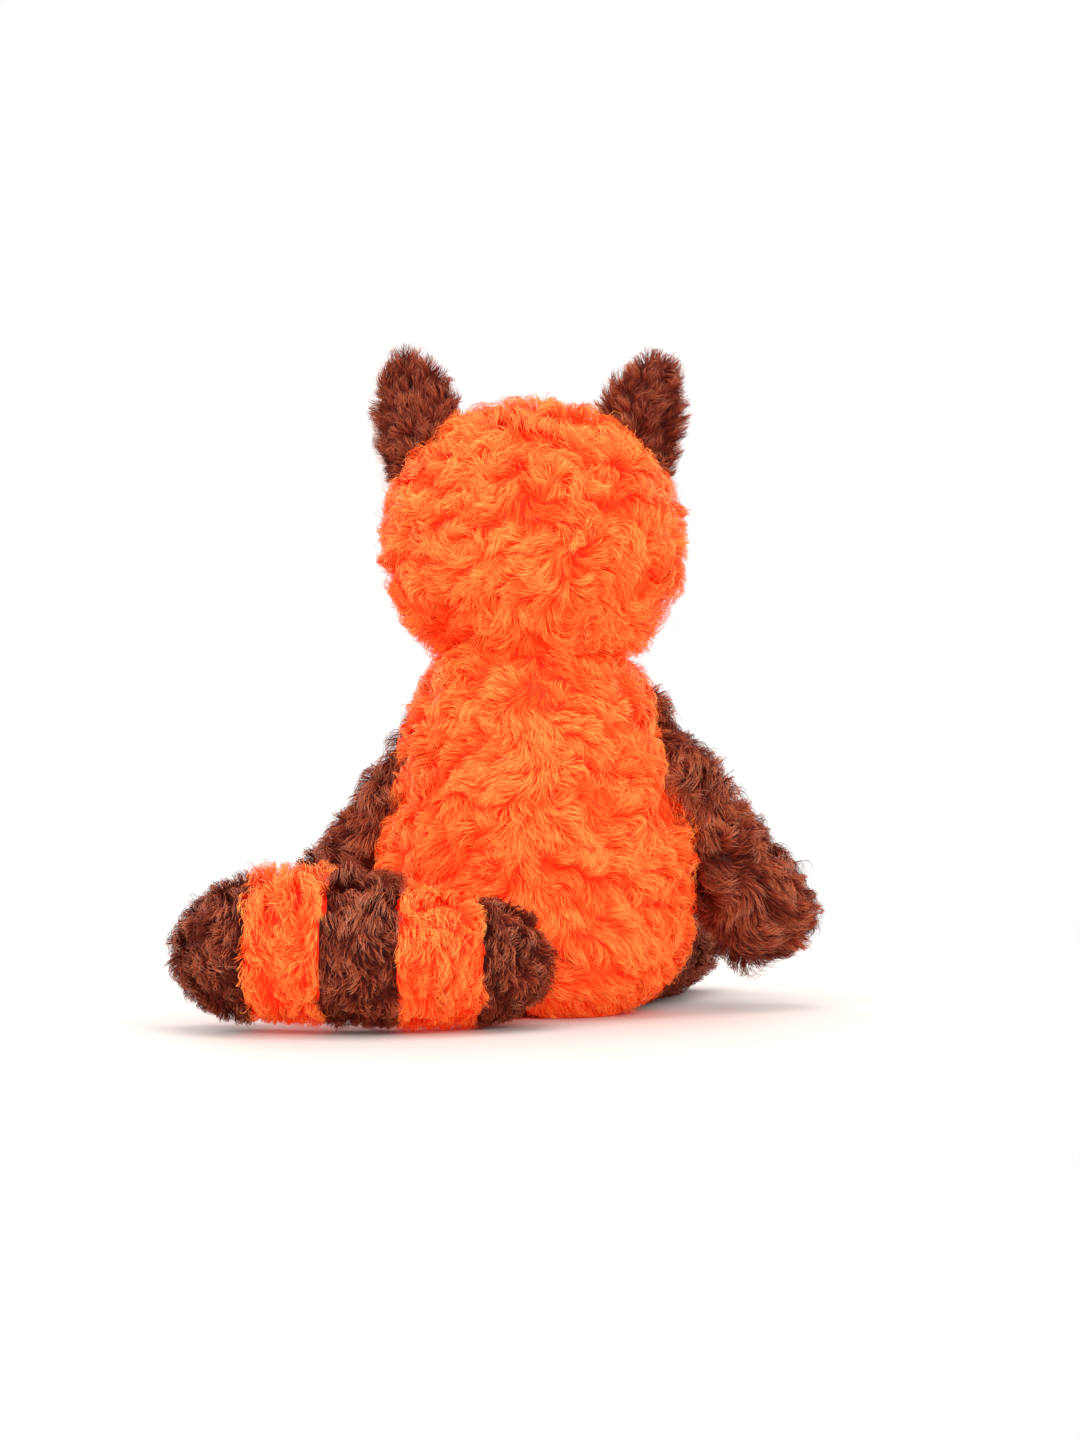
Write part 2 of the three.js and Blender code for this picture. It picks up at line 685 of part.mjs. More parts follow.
function tailStretch(from, to, count, sides, distance = 0) {
  const [start, end] = [from === 0, to === 1];
  const stretch = { from, to, roundStart: start, roundEnd: end };
  const sections = sectionsOf(tailPath, tailRadius, count, distance, stretch);
  return solidOf(limb(tailPath, sections, sides, new THREE.Vector3(0, 0, 1)));
}

function makeTail(torso) {
  const names = ['tail_root_cover', 'tail_ring_orange_inner', 'tail_ring_brown', 'tail_ring_orange_outer',
    'tail_tip_cover'];
  const furs = [brownFur, orangeFur, brownFur, orangeFur, brownFur];
  const sides = Math.round(outside.sides * 0.75);
  const room = roomThrough(torso.clear, tailHinge, -tailTuck, tailSwing);
  const coreSteps = outside.steps + 3;
  const hollow = tailStretch(0, 1, coreSteps, inside.sides, pile);
  const halfGap = seamGap / 2 / tailPath.getLength();
  const edges = [0, ...tailSeamPlaces, 1];
  const pieces = names.map((name, i) => {
    const from = i === 0 ? 0 : edges[i] + halfGap;
    const to = i === names.length - 1 ? 1 : edges[i + 1] - halfGap;
    const ring = tailStretch(from, to, 5, sides).intersect(aboveFloor);
    return [name, cutBy(ring, [hollow, room]), furs[i]];
  });
  const stuffing = tailStretch(0, 1, coreSteps, inside.sides, pile + seamGap).subtract(room);
  return [...pieces, ['tail_stuffing', stuffing, filling]];
}

// The toy

const toy = new THREE.Group();

function addPiece([name, solid, material]) {
  const mesh = new THREE.Mesh(geometryOf(solid), material);
  mesh.name = name;
  toy.add(mesh);
}

// Moulded pieces are made in their own frame and set on the face.
function addMoulded(seat, solid) {
  const mesh = new THREE.Mesh(geometryOf(solid), blackPlastic);
  mesh.name = seat.name;
  mesh.position.copy(seat.point);
  mesh.quaternion.setFromUnitVectors(new THREE.Vector3(0, 0, 1), seat.normal);
  toy.add(mesh);
}

const torso = makeTorso();
const head = makeHead();
const muzzle = makeMuzzle();
const pieces = [...torso.pieces, ...head.pieces, ...muzzle.pieces, ...makeTail(torso)];
for (const sideName of ['left', 'right']) {
  pieces.push(...makeEar(sideName, head), ...makeArm(sideName, torso), ...makeLeg(sideName, torso));
}
for (const seat of head.seats) {
  pieces.push([`eye_washer_${seat.name.slice(4)}`, washerAt(seat, pile), washerPlastic]);
  addMoulded(seat, mouldedDome(eyeRadius, eyeRadius, eyeDome));
}
addMoulded(muzzle.noseSeat, mouldedDome(noseHalfWidth, noseHalfHeight, noseDome));
pieces.forEach(addPiece);

export default toy;
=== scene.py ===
import json
import math

import bpy
import numpy as np
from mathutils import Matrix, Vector, kdtree, noise


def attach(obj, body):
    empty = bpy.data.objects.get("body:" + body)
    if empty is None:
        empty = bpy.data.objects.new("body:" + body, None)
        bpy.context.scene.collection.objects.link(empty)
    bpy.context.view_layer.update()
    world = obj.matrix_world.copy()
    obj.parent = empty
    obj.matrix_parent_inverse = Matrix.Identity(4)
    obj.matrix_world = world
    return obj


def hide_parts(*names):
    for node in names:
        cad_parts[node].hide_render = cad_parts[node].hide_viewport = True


# A seated plush red panda. Sizes in the dictionaries are in millimetres, angles in degrees.
# Each sewn panel is a cloth piece that rides on its body, with long pile grown on it strand by strand.
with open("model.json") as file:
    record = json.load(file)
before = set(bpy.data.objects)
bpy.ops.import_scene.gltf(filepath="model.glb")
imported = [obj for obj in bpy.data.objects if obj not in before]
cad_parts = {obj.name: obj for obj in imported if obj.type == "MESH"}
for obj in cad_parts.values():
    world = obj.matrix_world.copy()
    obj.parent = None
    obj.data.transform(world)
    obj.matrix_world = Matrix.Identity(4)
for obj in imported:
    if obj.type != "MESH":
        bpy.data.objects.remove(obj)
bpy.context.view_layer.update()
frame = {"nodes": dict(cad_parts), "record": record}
scene = bpy.context.scene
mm = 0.001
sideOf = {"left": 1, "right": -1}


def newObject(name, data):
    made = bpy.data.objects.new(name, data)
    scene.collection.objects.link(made)
    return made


# Camera, level with the toy's back, as in the photograph
camera = {"x": -2.9, "distance": 1430, "height": 123, "lens": 85, "sensor": 36, "near": 50, "far": 50000}

camData = bpy.data.cameras.new("backCamera")
camData.lens = camera["lens"]
camData.sensor_width = camera["sensor"]
camData.clip_start = camera["near"] * mm
camData.clip_end = camera["far"] * mm
camObject = newObject("backCamera", camData)
camObject.location = (camera["x"] * mm, camera["distance"] * mm, camera["height"] * mm)
camObject.rotation_euler = (math.radians(90), 0, math.radians(180))
scene.camera = camObject
scene.view_settings.view_transform = "Standard"
print("camera set")


# Materials

def linear(hexColour):
    shares = [int(hexColour[i:i + 2], 16) / 255 for i in (1, 3, 5)]
    return [s / 12.92 if s <= 0.04045 else ((s + 0.055) / 1.055) ** 2.4 for s in shares] + [1.0]


# Adds a shader node. A socket given as an input is linked, and any other value is set.
def addNode(tree, kind, inputs=None, **settings):
    node = tree.nodes.new("ShaderNode" + kind)
    for key, value in settings.items():
        setattr(node, key, value)
    for key, value in (inputs or {}).items():
        if isinstance(value, bpy.types.NodeSocket):
            tree.links.new(value, node.inputs[key])
        else:
            node.inputs[key].default_value = value
    return node


def addRamp(tree, factor, stops):
    ramp = addNode(tree, "ValToRGB", {"Fac": factor})
    elements = ramp.color_ramp.elements
    while len(elements) < len(stops):
        elements.new(0.5)
    for element, (place, colour) in zip(elements, stops):
        element.position = place
        element.color = linear(colour)
    return ramp.outputs["Color"]


# A pattern over the object, with waves or cells so many millimetres across.
def addPattern(tree, across, kind="TexNoise", output="Fac", **inputs):
    place = addNode(tree, "TexCoord")
    inputs.update({"Vector": place.outputs["Object"], "Scale": 1 / (across * mm)})
    return addNode(tree, kind, inputs).outputs[output]


def addRelief(tree, height, depth, strength=1.0):
    bump = addNode(tree, "Bump", {"Height": height, "Strength": strength, "Distance": depth * mm})
    return bump.outputs["Normal"]


def mixShaders(tree, share, first, second):
    return addNode(tree, "MixShader", {0: share, 1: first, 2: second}).outputs["Shader"]


def newMaterial(name):
    material = bpy.data.materials.new(name)
    material.use_nodes = True
    material.node_tree.nodes.clear()
    return material, material.node_tree


def finished(material, inputs):
    surface = addNode(material.node_tree, "BsdfPrincipled", inputs)
    addNode(material.node_tree, "OutputMaterial", {"Surface": surface.outputs["BSDF"]})
    return material


# Long-pile polyester fur, brushed: painted shade at the roots, a painted highlight at the fine tips, and each
# lock of its own tone. The map called fur holds the strand's tone across and its length from root to tip
# along.
# Its emission is a painted glow in the dye's own colour, which stands in for light passed between clear
# fibres and fills the gaps.
def brushedPile(name, fur):
    material, tree = newMaterial(name)
    places = addNode(tree, "UVMap", uv_map="fur")
    split = addNode(tree, "SeparateXYZ", {"Vector": places.outputs["UV"]})
    # Root to tip: painted shade deep in the pile, then a painted highlight at the tips
    stops = (0.0, 0.35, 0.7, 1.0)
    dark = addRamp(tree, split.outputs["Y"], list(zip(stops, fur["dark"])))
    light = addRamp(tree, split.outputs["Y"], list(zip(stops, fur["light"])))
    mixed = addNode(tree, "Mix", {"Factor": split.outputs["X"], 6: dark, 7: light}, data_type="RGBA")
    return finished(material, {
        "Base Color": mixed.outputs[2],
        "Roughness": 0.5,  # fine polyester strands: a wide, silky highlight
        "IOR": 1.5,
        "Specular IOR Level": fur["gloss"],
        "Sheen Weight": fur["sheen"],  # soft light rim of a fibrous surface
        "Sheen Roughness": 0.4,
        "Sheen Tint": linear(fur["light"][-1]),
        # painted glow in the dye's colour, not a lamp: it lifts the pile's shaded gaps
        "Emission Color": linear(fur["paintedGlow"]),
        "Emission Strength": 1.0,
    })


# Knitted backing under the pile: stitches about 1 mm apart, dyed as the pile's roots, in uneven blotches.
def knitBacking(name, colour, shade, paintedGlow):
    material, tree = newMaterial(name)
    stitches = addPattern(tree, across=1.0, kind="TexVoronoi", output="Distance")
    tone = addRamp(tree, addPattern(tree, across=12), [(0.3, shade), (0.7, colour)])
    relief = addRelief(tree, stitches, depth=0.3, strength=0.5)
    # The emission is a painted glow that lifts the shade where the knit shows between locks
    return finished(material, {"Base Color": tone, "Roughness": 0.9, "Normal": relief,
                               "Emission Color": linear(paintedGlow), "Emission Strength": 1.0})


# Short-napped velour of the soles: a dense 1 mm nap with soft brushed patches.
def velour(name, colour, shade):
    material, tree = newMaterial(name)
    tone = addRamp(tree, addPattern(tree, across=9, Detail=2.0), [(0.35, shade), (0.65, colour)])
    relief = addRelief(tree, addPattern(tree, across=1.2, Detail=4.0), depth=0.5, strength=0.7)
    return finished(material, {"Base Color": tone, "Roughness": 0.85, "Normal": relief,
                               "Sheen Weight": 0.5, "Sheen Roughness": 0.4})


# Polyester fibre filling: white, matted fibres in loose balls about 15 mm across.
def fibreFilling(name):
    material, tree = newMaterial(name)
    balls = addPattern(tree, across=15, Detail=8.0)
    tone = addRamp(tree, balls, [(0.3, "#d9d5cc"), (0.6, "#f5f3ee")])
    relief = addRelief(tree, balls, depth=2)
    return finished(material, {"Base Color": tone, "Roughness": 0.9, "Normal": relief})


# Polished moulded ABS of the eyes and nose: near black, with a clear highlight and faint handling marks.
def polishedAbs(name, colour, worn, roughness):
    material, tree = newMaterial(name)
    tone = addRamp(tree, addPattern(tree, across=3, Detail=3.0), [(0.35, colour), (0.75, worn)])
    return finished(material, {"Base Color": tone, "Roughness": roughness, "IOR": 1.53,
                               "Coat Weight": 0.3, "Coat Roughness": 0.03})


# Moulded nylon of the lock washers: off-white, satin, with a slight grain from the mould.
def mouldedNylon(name):
    material, tree = newMaterial(name)
    grain = addPattern(tree, across=0.8)
    tone = addRamp(tree, grain, [(0.3, "#dcdcd6"), (0.7, "#ecece8")])
    relief = addRelief(tree, grain, depth=0.1, strength=0.2)
    return finished(material, {"Base Color": tone, "Roughness": 0.45, "IOR": 1.53, "Normal": relief})


# Each fur's darkest and lightest locks from root to tip, its painted glow, and its knit: colour, shade and
# painted glow
furs = {
    "orange_fur": {
        "dark": ("#f02e0c", "#f64a1a", "#fb702f", "#fc883a"),
        "light": ("#f8521a", "#fc8a3c", "#feaa54", "#fdae66"),
        "paintedGlow": "#740b00", "gloss": 0.08, "sheen": 0,
        "knit": ("#fa3410", "#f02a0a", "#a81402"),
    },
    "brown_fur": {
        "dark": ("#240605", "#40100b", "#6c2518", "#8e3e2b"),
        "light": ("#4e130e", "#8c321e", "#cc6a46", "#eeaa8a"),
        "paintedGlow": "#260502", "gloss": 0.04, "sheen": 0,
        "knit": ("#48160b", "#300c05", "#1c0301"),
    },
    "cream_fur": {
        "dark": ("#e3cbb0", "#efdcc8", "#f6e9da", "#f9efe3"),
        "light": ("#ecd9c3", "#f5e8d8", "#fbf3e8", "#fefaf3"),
        "paintedGlow": "#463626", "gloss": 0.3, "sheen": 0.08,
        "knit": ("#efdcc8", "#e3cbb0", "#463626"),
    },
    "lining_fur": {
        "dark": ("#d39c86", "#e6b8a4", "#efc9b8", "#f3d5c8"),
        "light": ("#deac96", "#eec8b7", "#f6dbcf", "#faeae2"),
        "paintedGlow": "#3c2018", "gloss": 0.3, "sheen": 0.08,
        "knit": ("#e6b8a4", "#d39c86", "#3c2018"),
    },
}
piles, backings = {}, {}
for slotName, fur in furs.items():
    dye = slotName.split("_")[0]
    piles[slotName] = brushedPile(dye + "Pile", fur)
    backings[slotName] = knitBacking(dye + "Knit", *fur["knit"])
soleVelour = velour("soleVelour", "#55241c", "#3f1711")
filling = fibreFilling("fibreFilling")
blackAbs = polishedAbs("blackAbs", "#0d0a0a", "#1c1513", 0.12)
nylon = mouldedNylon("washerNylon")
slotOf = {part["node"]: part["material_slot"] for part in frame["record"]["subparts"]}
print("materials made")


# Meshes from arrays, in millimetres

def meshObject(name, points, faces):
    mesh = bpy.data.meshes.new(name)
    mesh.from_pydata((np.asarray(points) * mm).tolist(), [], [[int(i) for i in face] for face in faces])
    mesh.update()
    mesh.shade_smooth()
    return newObject(name, mesh)


def unit(vectors):
    return vectors / np.maximum(np.linalg.norm(vectors, axis=-1, keepdims=True), 1e-9)


# Rises softly from 0 at low to 1 at high.
def rise(values, low, high):
    t = np.clip((np.asarray(values, float) - low) / (high - low), 0, 1)
    return t * t * (3 - 2 * t)


def fullTurn(around):
    return np.linspace(0, 2 * math.pi, around, endpoint=False)


# Rings of points joined into one closed form, with a single point at each end.
def closedRings(rings):
    rings = np.asarray(rings, float)
    count, around = rings.shape[:2]
    points = list(rings.reshape(-1, 3)) + [rings[0].mean(0), rings[-1].mean(0)]
    first, last = len(points) - 2, len(points) - 1
    faces = []
    for r in range(count - 1):
        for i in range(around):
            n = (i + 1) % around
            faces.append((r * around + i, r * around + n, (r + 1) * around + n, (r + 1) * around + i))
    for i in range(around):
        n = (i + 1) % around
        faces.append((first, n, i))
        faces.append((last, (count - 1) * around + i, (count - 1) * around + n))
    return np.array(points), faces


# A smooth curve through points, at shares of its length.
def curveThrough(points, shares, finer=40):
    points = np.asarray(points, float)
    padded = np.vstack([2 * points[0] - points[1], points, 2 * points[-1] - points[-2]])
    fine = []
    for i in range(len(points) - 1):
        a, b, c, d = padded[i:i + 4]
        for t in np.linspace(0, 1, finer, endpoint=False):
            fine.append(0.5 * (2 * b + (c - a) * t + (2 * a - 5 * b + 4 * c - d) * t ** 2
                               + (3 * b - a - 3 * c + d) * t ** 3))
    fine.append(points[-1])
    fine = np.array(fine)
    steps = np.concatenate([[0], np.cumsum(np.linalg.norm(np.diff(fine, axis=0), axis=1))])
    wanted = np.asarray(shares) * steps[-1]
    return np.stack([np.interp(wanted, steps, column) for column in fine.T], 1)


def ellipsoidRings(centre, half, around=40, count=26):
    rings = []
    for polar in np.linspace(0, math.pi, count + 2)[1:-1]:
        turn = fullTurn(around)
        rings.append(np.stack([
            centre[0] + half[0] * math.sin(polar) * np.cos(turn),
            centre[1] + half[1] * math.sin(polar) * np.sin(turn),
            centre[2] - half[2] * math.cos(polar) * np.ones(around),
        ], 1))
    return closedRings(rings)


# A stuffed tube along a path, round at its end and, where wanted, at its start.
def tubeRings(path, radiusAt, roundStart=True, around=32, count=48):
    gap, steep = 0.02, 0.9  # the end rings aren't quite points, and a steeper way counts as upright
    shares = 0.5 - 0.5 * np.cos(np.linspace(gap, math.pi - gap, count))
    centres = curveThrough(path, shares)
    length = np.linalg.norm(np.diff(curveThrough(path, np.linspace(0, 1, 200)), axis=0), axis=1).sum()
    along = unit(np.gradient(centres, axis=0))
    rings = []
    for share, centre, way in zip(shares, centres, along):
        full = radiusAt(share)
        reach = min(1.0, (1 - share) * length / full)
        if roundStart:
            reach = min(reach, share * length / full)
        radius = full * math.sqrt(max(1 - (1 - reach) ** 2, gap ** 2))
        across = unit(np.cross(way, [0, 0, 1] if abs(way[2]) < steep else [0, 1, 0]))
        over = np.cross(across, way)
        turn = fullTurn(around)
        rings.append(centre + radius * (np.cos(turn)[:, None] * across + np.sin(turn)[:, None] * over))
    return closedRings(rings)


# The facing of each quad, twice as long as the quad's area.
def quadFacing(points, quads):
    a, b, c, d = (points[quads[:, i]] for i in range(4))
    return np.cross(c - a, d - b)


def facing(points, quads):
    across, total = quadFacing(points, quads), np.zeros_like(points)
    for i in range(4):
        np.add.at(total, quads[:, i], across)
    return unit(total)


# Joins closed forms into one even skin, smooths it, and draws it in from pressed pile to lumpy cloth.
def softSkin(forms, fit, seed):
    inStep, outStep = 0.5, -0.52  # taken in turn, they smooth without shrinking
    clothHeight = 1.2  # of the cloth where the toy rests on its pile
    made = [meshObject("form", points, faces) for points, faces in forms]
    if len(made) > 1:
        with bpy.context.temp_override(active_object=made[0], selected_editable_objects=made, object=made[0]):
            bpy.ops.object.join()
    form = made[0]
    remesh = form.modifiers.new("remesh", "REMESH")
    remesh.mode = "VOXEL"
    remesh.voxel_size = fit["voxel"] * mm
    evaluated = form.evaluated_get(bpy.context.evaluated_depsgraph_get())
    mesh = bpy.data.meshes.new_from_object(evaluated)
    points = np.array([v.co for v in mesh.vertices]) / mm
    quads = np.array([list(p.vertices) for p in mesh.polygons])
    edges = np.array([list(e.vertices) for e in mesh.edges])
    joins = np.bincount(edges.ravel(), minlength=len(points))[:, None]
    for step in range(2 * fit["smooth"]):
        total = np.zeros_like(points)
        np.add.at(total, edges[:, 0], points[edges[:, 1]])
        np.add.at(total, edges[:, 1], points[edges[:, 0]])
        points += (total / joins - points) * (inStep if step % 2 == 0 else outStep)
    normals = facing(points, quads)
    lumps = np.array([noise.noise(Vector(p) / fit["lump"] + Vector((seed, 0, 0))) for p in points])
    points = points - normals * (fit["inset"] - fit["lumpDepth"] * lumps)[:, None]
    points[:, 2] = np.maximum(points[:, 2], clothHeight)
    bpy.data.objects.remove(form)
    return points, quads


# Pile grown on a skin

# Density per square millimetre. Strands stand in wisps, and wisps in locks. drawnOut is how much longer than
# wide these are, lieDown how far strands bow over, gather and pinch how much they close in on their lock and
# wisp, ragged how mixed the locks' edges are, and bulge how rounded locks look. tone lightens the pile,
# edgeShade is the tone lost at a lock's edge as painted shade between locks, and own the spread of tone
# from strand to strand.
longPile = {
    "density": 1.9, "height": 5.9, "length": 8, "lockArea": 60, "wispArea": 4.2, "drawnOut": 1.7,
    "lieDown": 2.5, "gather": 0.3, "pinch": 0.7, "stray": 36, "wispStray": 8, "ragged": 0.6, "curl": 1.8,
    "wave": 0.4, "wander": 0.15, "loose": 0.02, "edgeShade": 0.9, "bulge": 0.65, "width": 0.28, "steps": 4,
    "tone": 0.14, "own": 0.08,
}

# How unlike each other locks, wisps and single strands are, as shares of the pile's height and length
variety = {
    "lockTone": (0.25, 0.85), "lockRise": (0.78, 1.2), "lockReach": (0.75, 1.25),
    "wispTone": 0.16, "wispRise": (0.75, 1.15), "wispReach": (0.75, 1.2),
    "strandStray": 5, "strandRise": (0.92, 1.06), "strandReach": (0.88, 1.1),
    "looseRise": (1.05, 1.35), "looseHeld": 0.2,
}

# The curve of a strand from root to tip, and how a lock falls off from its middle to its edge
growth = {
    "outPower": 1.3, "pinchPower": 0.8, "waves": 0.8, "middleRise": 1.15, "edgeDrop": 0.85,
    "wispBulge": 0.3, "wispRagged": 0.3, "lowest": 0.35, "tones": (0.03, 0.97),
}
blade = {
    "twist": 0.5, "widths": (0.8, 1.2), "taper": 0.7, "ownFacing": 0.45, "lowest": 0.3,
    "mapWidth": 0.02, "mapSpan": (0.005, 0.995),  # shares of the map
}
mostFaces = 190000  # triangles in one piece of pile


# Even places on quads, with the skin's own facing there.
def sprinkle(rng, points, quads, normals, count):
    corners = np.vstack([quads[:, [0, 1, 2]], quads[:, [0, 2, 3]]])
    a, b, c = (points[corners[:, i]] for i in range(3))
    areas = np.linalg.norm(np.cross(b - a, c - a), axis=1) / 2
    edges = np.cumsum(areas)
    places = (np.arange(count) + rng.random(count)) / count * edges[-1]
    picked = np.minimum(np.searchsorted(edges, places), len(areas) - 1)
    u, v = rng.random((2, count))
    flip = u + v > 1
    u[flip], v[flip] = 1 - u[flip], 1 - v[flip]
    weights = np.stack([1 - u - v, u, v], 1)[:, :, None]
    roots = (points[corners[picked]] * weights).sum(1)
    normal = unit((normals[corners[picked]] * weights).sum(1))
    return roots, normal


def treeOf(points):
    tree = kdtree.KDTree(len(points))
    for index, point in enumerate(points):
        tree.insert(point, index)
    tree.balance()
    return tree


# Shares roots out among uneven clumps, drawn out along the way that the pile lies. Each picks among the
# nearest. Gives its clump, the way across to the clump's middle line, the slope there, and how near the edge
# it is.
def clumpsOf(rng, roots, flow, pile, clumpArea, ragged, among=1):
    fewest, edgeAt = 8, 1.4  # edgeAt in radii of an even clump
    count = max(fewest, int(len(roots) / pile["density"] / pile[clumpArea]))
    radius = math.sqrt(pile[clumpArea] / math.pi)
    centres = roots[rng.choice(len(roots), count, replace=False)]
    tree, blurred = treeOf(centres), roots + rng.normal(0, ragged, roots.shape)
    near = np.array([[found[1] for found in tree.find_n(place, among)] for place in blurred])
    apart = centres[near] - blurred[:, None]
    along = (apart * flow[:, None]).sum(2)
    across = (apart ** 2).sum(2) - along ** 2
    drawn = pile["drawnOut"]
    measure = along ** 2 / drawn + across * drawn
    chosen = measure.argmin(1)
    rows = np.arange(len(roots))
    inwards, along = apart[rows, chosen], along[rows, chosen][:, None] * flow
    inwards = inwards - along
    slope = (inwards * drawn + along / drawn) / radius
    edge = np.clip(np.sqrt(measure[rows, chosen]) / (edgeAt * radius), 0, 1)
    return near[rows, chosen], inwards, slope, edge


# Grows strands in locks, and in fine wisps inside them. Each lock leans near the way that the fur is brushed,
# is highest along its middle, and lies down over the foot of the next.
def growStrands(rng, roots, normals, brush, pile, longer):
    count, flow = len(roots), brush(roots, normals)
    flow = unit(flow - (flow * normals).sum(1, keepdims=True) * normals)
    lock, toLock, lockSlope, edge = clumpsOf(rng, roots, flow, pile, "lockArea", pile["ragged"], among=6)
    wisp, toWisp, wispSlope, _ = clumpsOf(rng, roots, flow, pile, "wispArea", growth["wispRagged"])
    locks, wisps = lock.max() + 1, wisp.max() + 1

    def varied(key, among):
        return rng.uniform(*variety[key], among)

    angle = rng.normal(0, np.radians(pile["stray"]), locks)
    curl = rng.normal(0, pile["curl"], locks)
    lockTone = varied("lockTone", locks)
    lockRise, lockReach = varied("lockRise", locks), varied("lockReach", locks)
    wispAngle = rng.normal(0, np.radians(pile["wispStray"]), wisps)
    wispTone, phase = rng.normal(0, variety["wispTone"], wisps), rng.uniform(0, 2 * math.pi, wisps)
    wispRise, wispReach = varied("wispRise", wisps), varied("wispReach", wisps)

    side = np.cross(normals, flow)
    ownAngle = rng.normal(0, np.radians(variety["strandStray"]), count)
    turn = (angle[lock] + wispAngle[wisp] + ownAngle)[:, None]
    lean = flow * np.cos(turn) + side * np.sin(turn)
    side = np.cross(normals, lean)

    grown = longer(roots)
    middle = growth["middleRise"] - growth["edgeDrop"] * edge ** 3
    high = pile["height"] * grown * lockRise[lock] * wispRise[wisp] * middle
    high *= varied("strandRise", count)
    far = pile["length"] * grown * lockReach[lock] * wispReach[wisp] * varied("strandReach", count)
    loose = rng.random(count) < pile["loose"]
    high = np.where(loose, high * varied("looseRise", count), high)
    held = np.where(loose, variety["looseHeld"], 1.0)[:, None]
    wander = rng.normal(0, pile["wander"], (count, 3))

    steps = pile["steps"]
    line = []
    for k in range(steps + 1):
        s = k / steps
        up = high * math.sin(pile["lieDown"] * s) / math.sin(min(pile["lieDown"], math.pi / 2))
        outwards = s ** growth["outPower"]
        wave = pile["wave"] * np.sin(2 * math.pi * growth["waves"] * s + phase[wisp]) * s
        bend = curl[lock] * s ** 2 + wave
        gathered = toLock * pile["gather"] * outwards + toWisp * pile["pinch"] * s ** growth["pinchPower"]
        line.append(roots + gathered * held + normals * up[:, None] + lean * (far * outwards)[:, None]
                    + side * bend[:, None] + wander * s)
    line = np.stack(line, 1)
    line[:, :, 2] = np.maximum(line[:, :, 2], growth["lowest"])
    # The tone drops towards a lock's edge: painted shade in the gaps between locks
    tone = lockTone[lock] + wispTone[wisp] + pile["tone"] - pile["edgeShade"] * edge ** 3
    tone += rng.normal(0, pile["own"], count)
    bulge = unit(normals - pile["bulge"] * lockSlope - growth["wispBulge"] * wispSlope)
    return line, normals, bulge, np.clip(tone, *growth["tones"])


# Strands as fine tapered blades, shaded as the rounded locks that they lie in, which is how the eye reads
# fine fibre. Their map holds tone across and root to tip along.
def strandMesh(name, line, normals, bulge, tone, rng, width):
    count, steps = len(line), line.shape[1] - 1
    along = unit(np.gradient(line, axis=1))
    twist = rng.normal(0, blade["twist"], count)[:, None, None]
    flat = unit(np.cross(along, normals[:, None, :]) + 1e-6)
    out = np.cross(flat, along)
    across = flat * np.cos(twist) + out * np.sin(twist)
    shares = np.linspace(0, 1, steps + 1)
    taper = (1 - blade["taper"] * shares[:-1] ** 2)[None, :]
    half = 0.5 * width * rng.uniform(*blade["widths"], count)[:, None] * taper
    perStrand = 2 * steps + 1
    points = np.empty((count, perStrand, 3))
    points[:, 0:2 * steps:2] = line[:, :-1] - across[:, :-1] * half[:, :, None]
    points[:, 1:2 * steps:2] = line[:, :-1] + across[:, :-1] * half[:, :, None]
    points[:, -1] = line[:, -1]
    points[:, :, 2] = np.maximum(points[:, :, 2], blade["lowest"])
    own = np.cross(across, along)
    own *= np.where((own * bulge[:, None, :]).sum(2, keepdims=True) < 0, -1, 1)
    shaded = unit(bulge[:, None, :] + blade["ownFacing"] * own)
    pointShading = np.concatenate([np.repeat(shaded[:, :-1], 2, axis=1), shaded[:, -1:]], 1)

    # Quads up the blade and a triangle at its tip
    corners = [c for k in range(steps - 1) for c in (2 * k, 2 * k + 1, 2 * k + 3, 2 * k + 2)]
    corners = np.array(corners + [2 * steps - 2, 2 * steps - 1, 2 * steps])
    strands = np.arange(count)[:, None]
    loops = (strands * perStrand + corners).ravel()
    loopStarts = (strands * len(corners) + 4 * np.arange(steps)).ravel()

    mesh = bpy.data.meshes.new(name)
    mesh.vertices.add(count * perStrand)
    mesh.vertices.foreach_set("co", (points * mm).astype(np.float32).ravel())
    mesh.loops.add(len(loops))
    mesh.loops.foreach_set("vertex_index", loops.astype(np.int32))
    mesh.polygons.add(len(loopStarts))
    mesh.polygons.foreach_set("loop_start", loopStarts.astype(np.int32))
    mesh.update(calc_edges=True)
    mesh.shade_smooth()
    soft = mesh.attributes.new("custom_normal", "FLOAT_VECTOR", "POINT")
    soft.data.foreach_set("vector", pointShading.astype(np.float32).ravel())

    sideways = np.append(np.tile([-blade["mapWidth"], blade["mapWidth"]], steps), 0.0)
    rootToTip = np.append(np.repeat(shares[:-1], 2), 1.0)
    u = np.clip(tone[:, None] + sideways[corners], *blade["mapSpan"])
    v = np.clip(np.tile(rootToTip[corners], (count, 1)), *blade["mapSpan"])
    places = np.stack([u, v], 2).astype(np.float32).ravel()
    for layer in ("fur", "OFBake"):
        mesh.uv_layers.new(name=layer, do_init=False).data.foreach_set("uv", places)
    mesh.uv_layers["fur"].active_render = True
    return newObject(name, mesh)


# A brush's way that swirls over the skin without parting the pile at a point: along the level lines of a
# smooth noise, with a main way added.
def swirled(places, normals, main, share, size, seed):
    every, small = 8, 0.02  # the noise is read at every eighth place, and its slope over a small step
    sparse, facings = places[::every], normals[::every]
    shift = Vector((seed, 0, 0))

    def levels(step):
        return np.array([noise.noise(Vector(p) / size + shift + Vector(step)) for p in sparse])

    level = levels((0, 0, 0))
    slope = np.stack([levels(step) - level for step in np.eye(3) * small], 1) / small
    ways = np.cross(facings, slope)
    tree = treeOf(sparse)
    return main + share * ways[[tree.find(p)[1] for p in places]]


def evenly(places):
    return np.ones(len(places))


def onePanel(places, normals):
    return np.zeros(len(places), int)


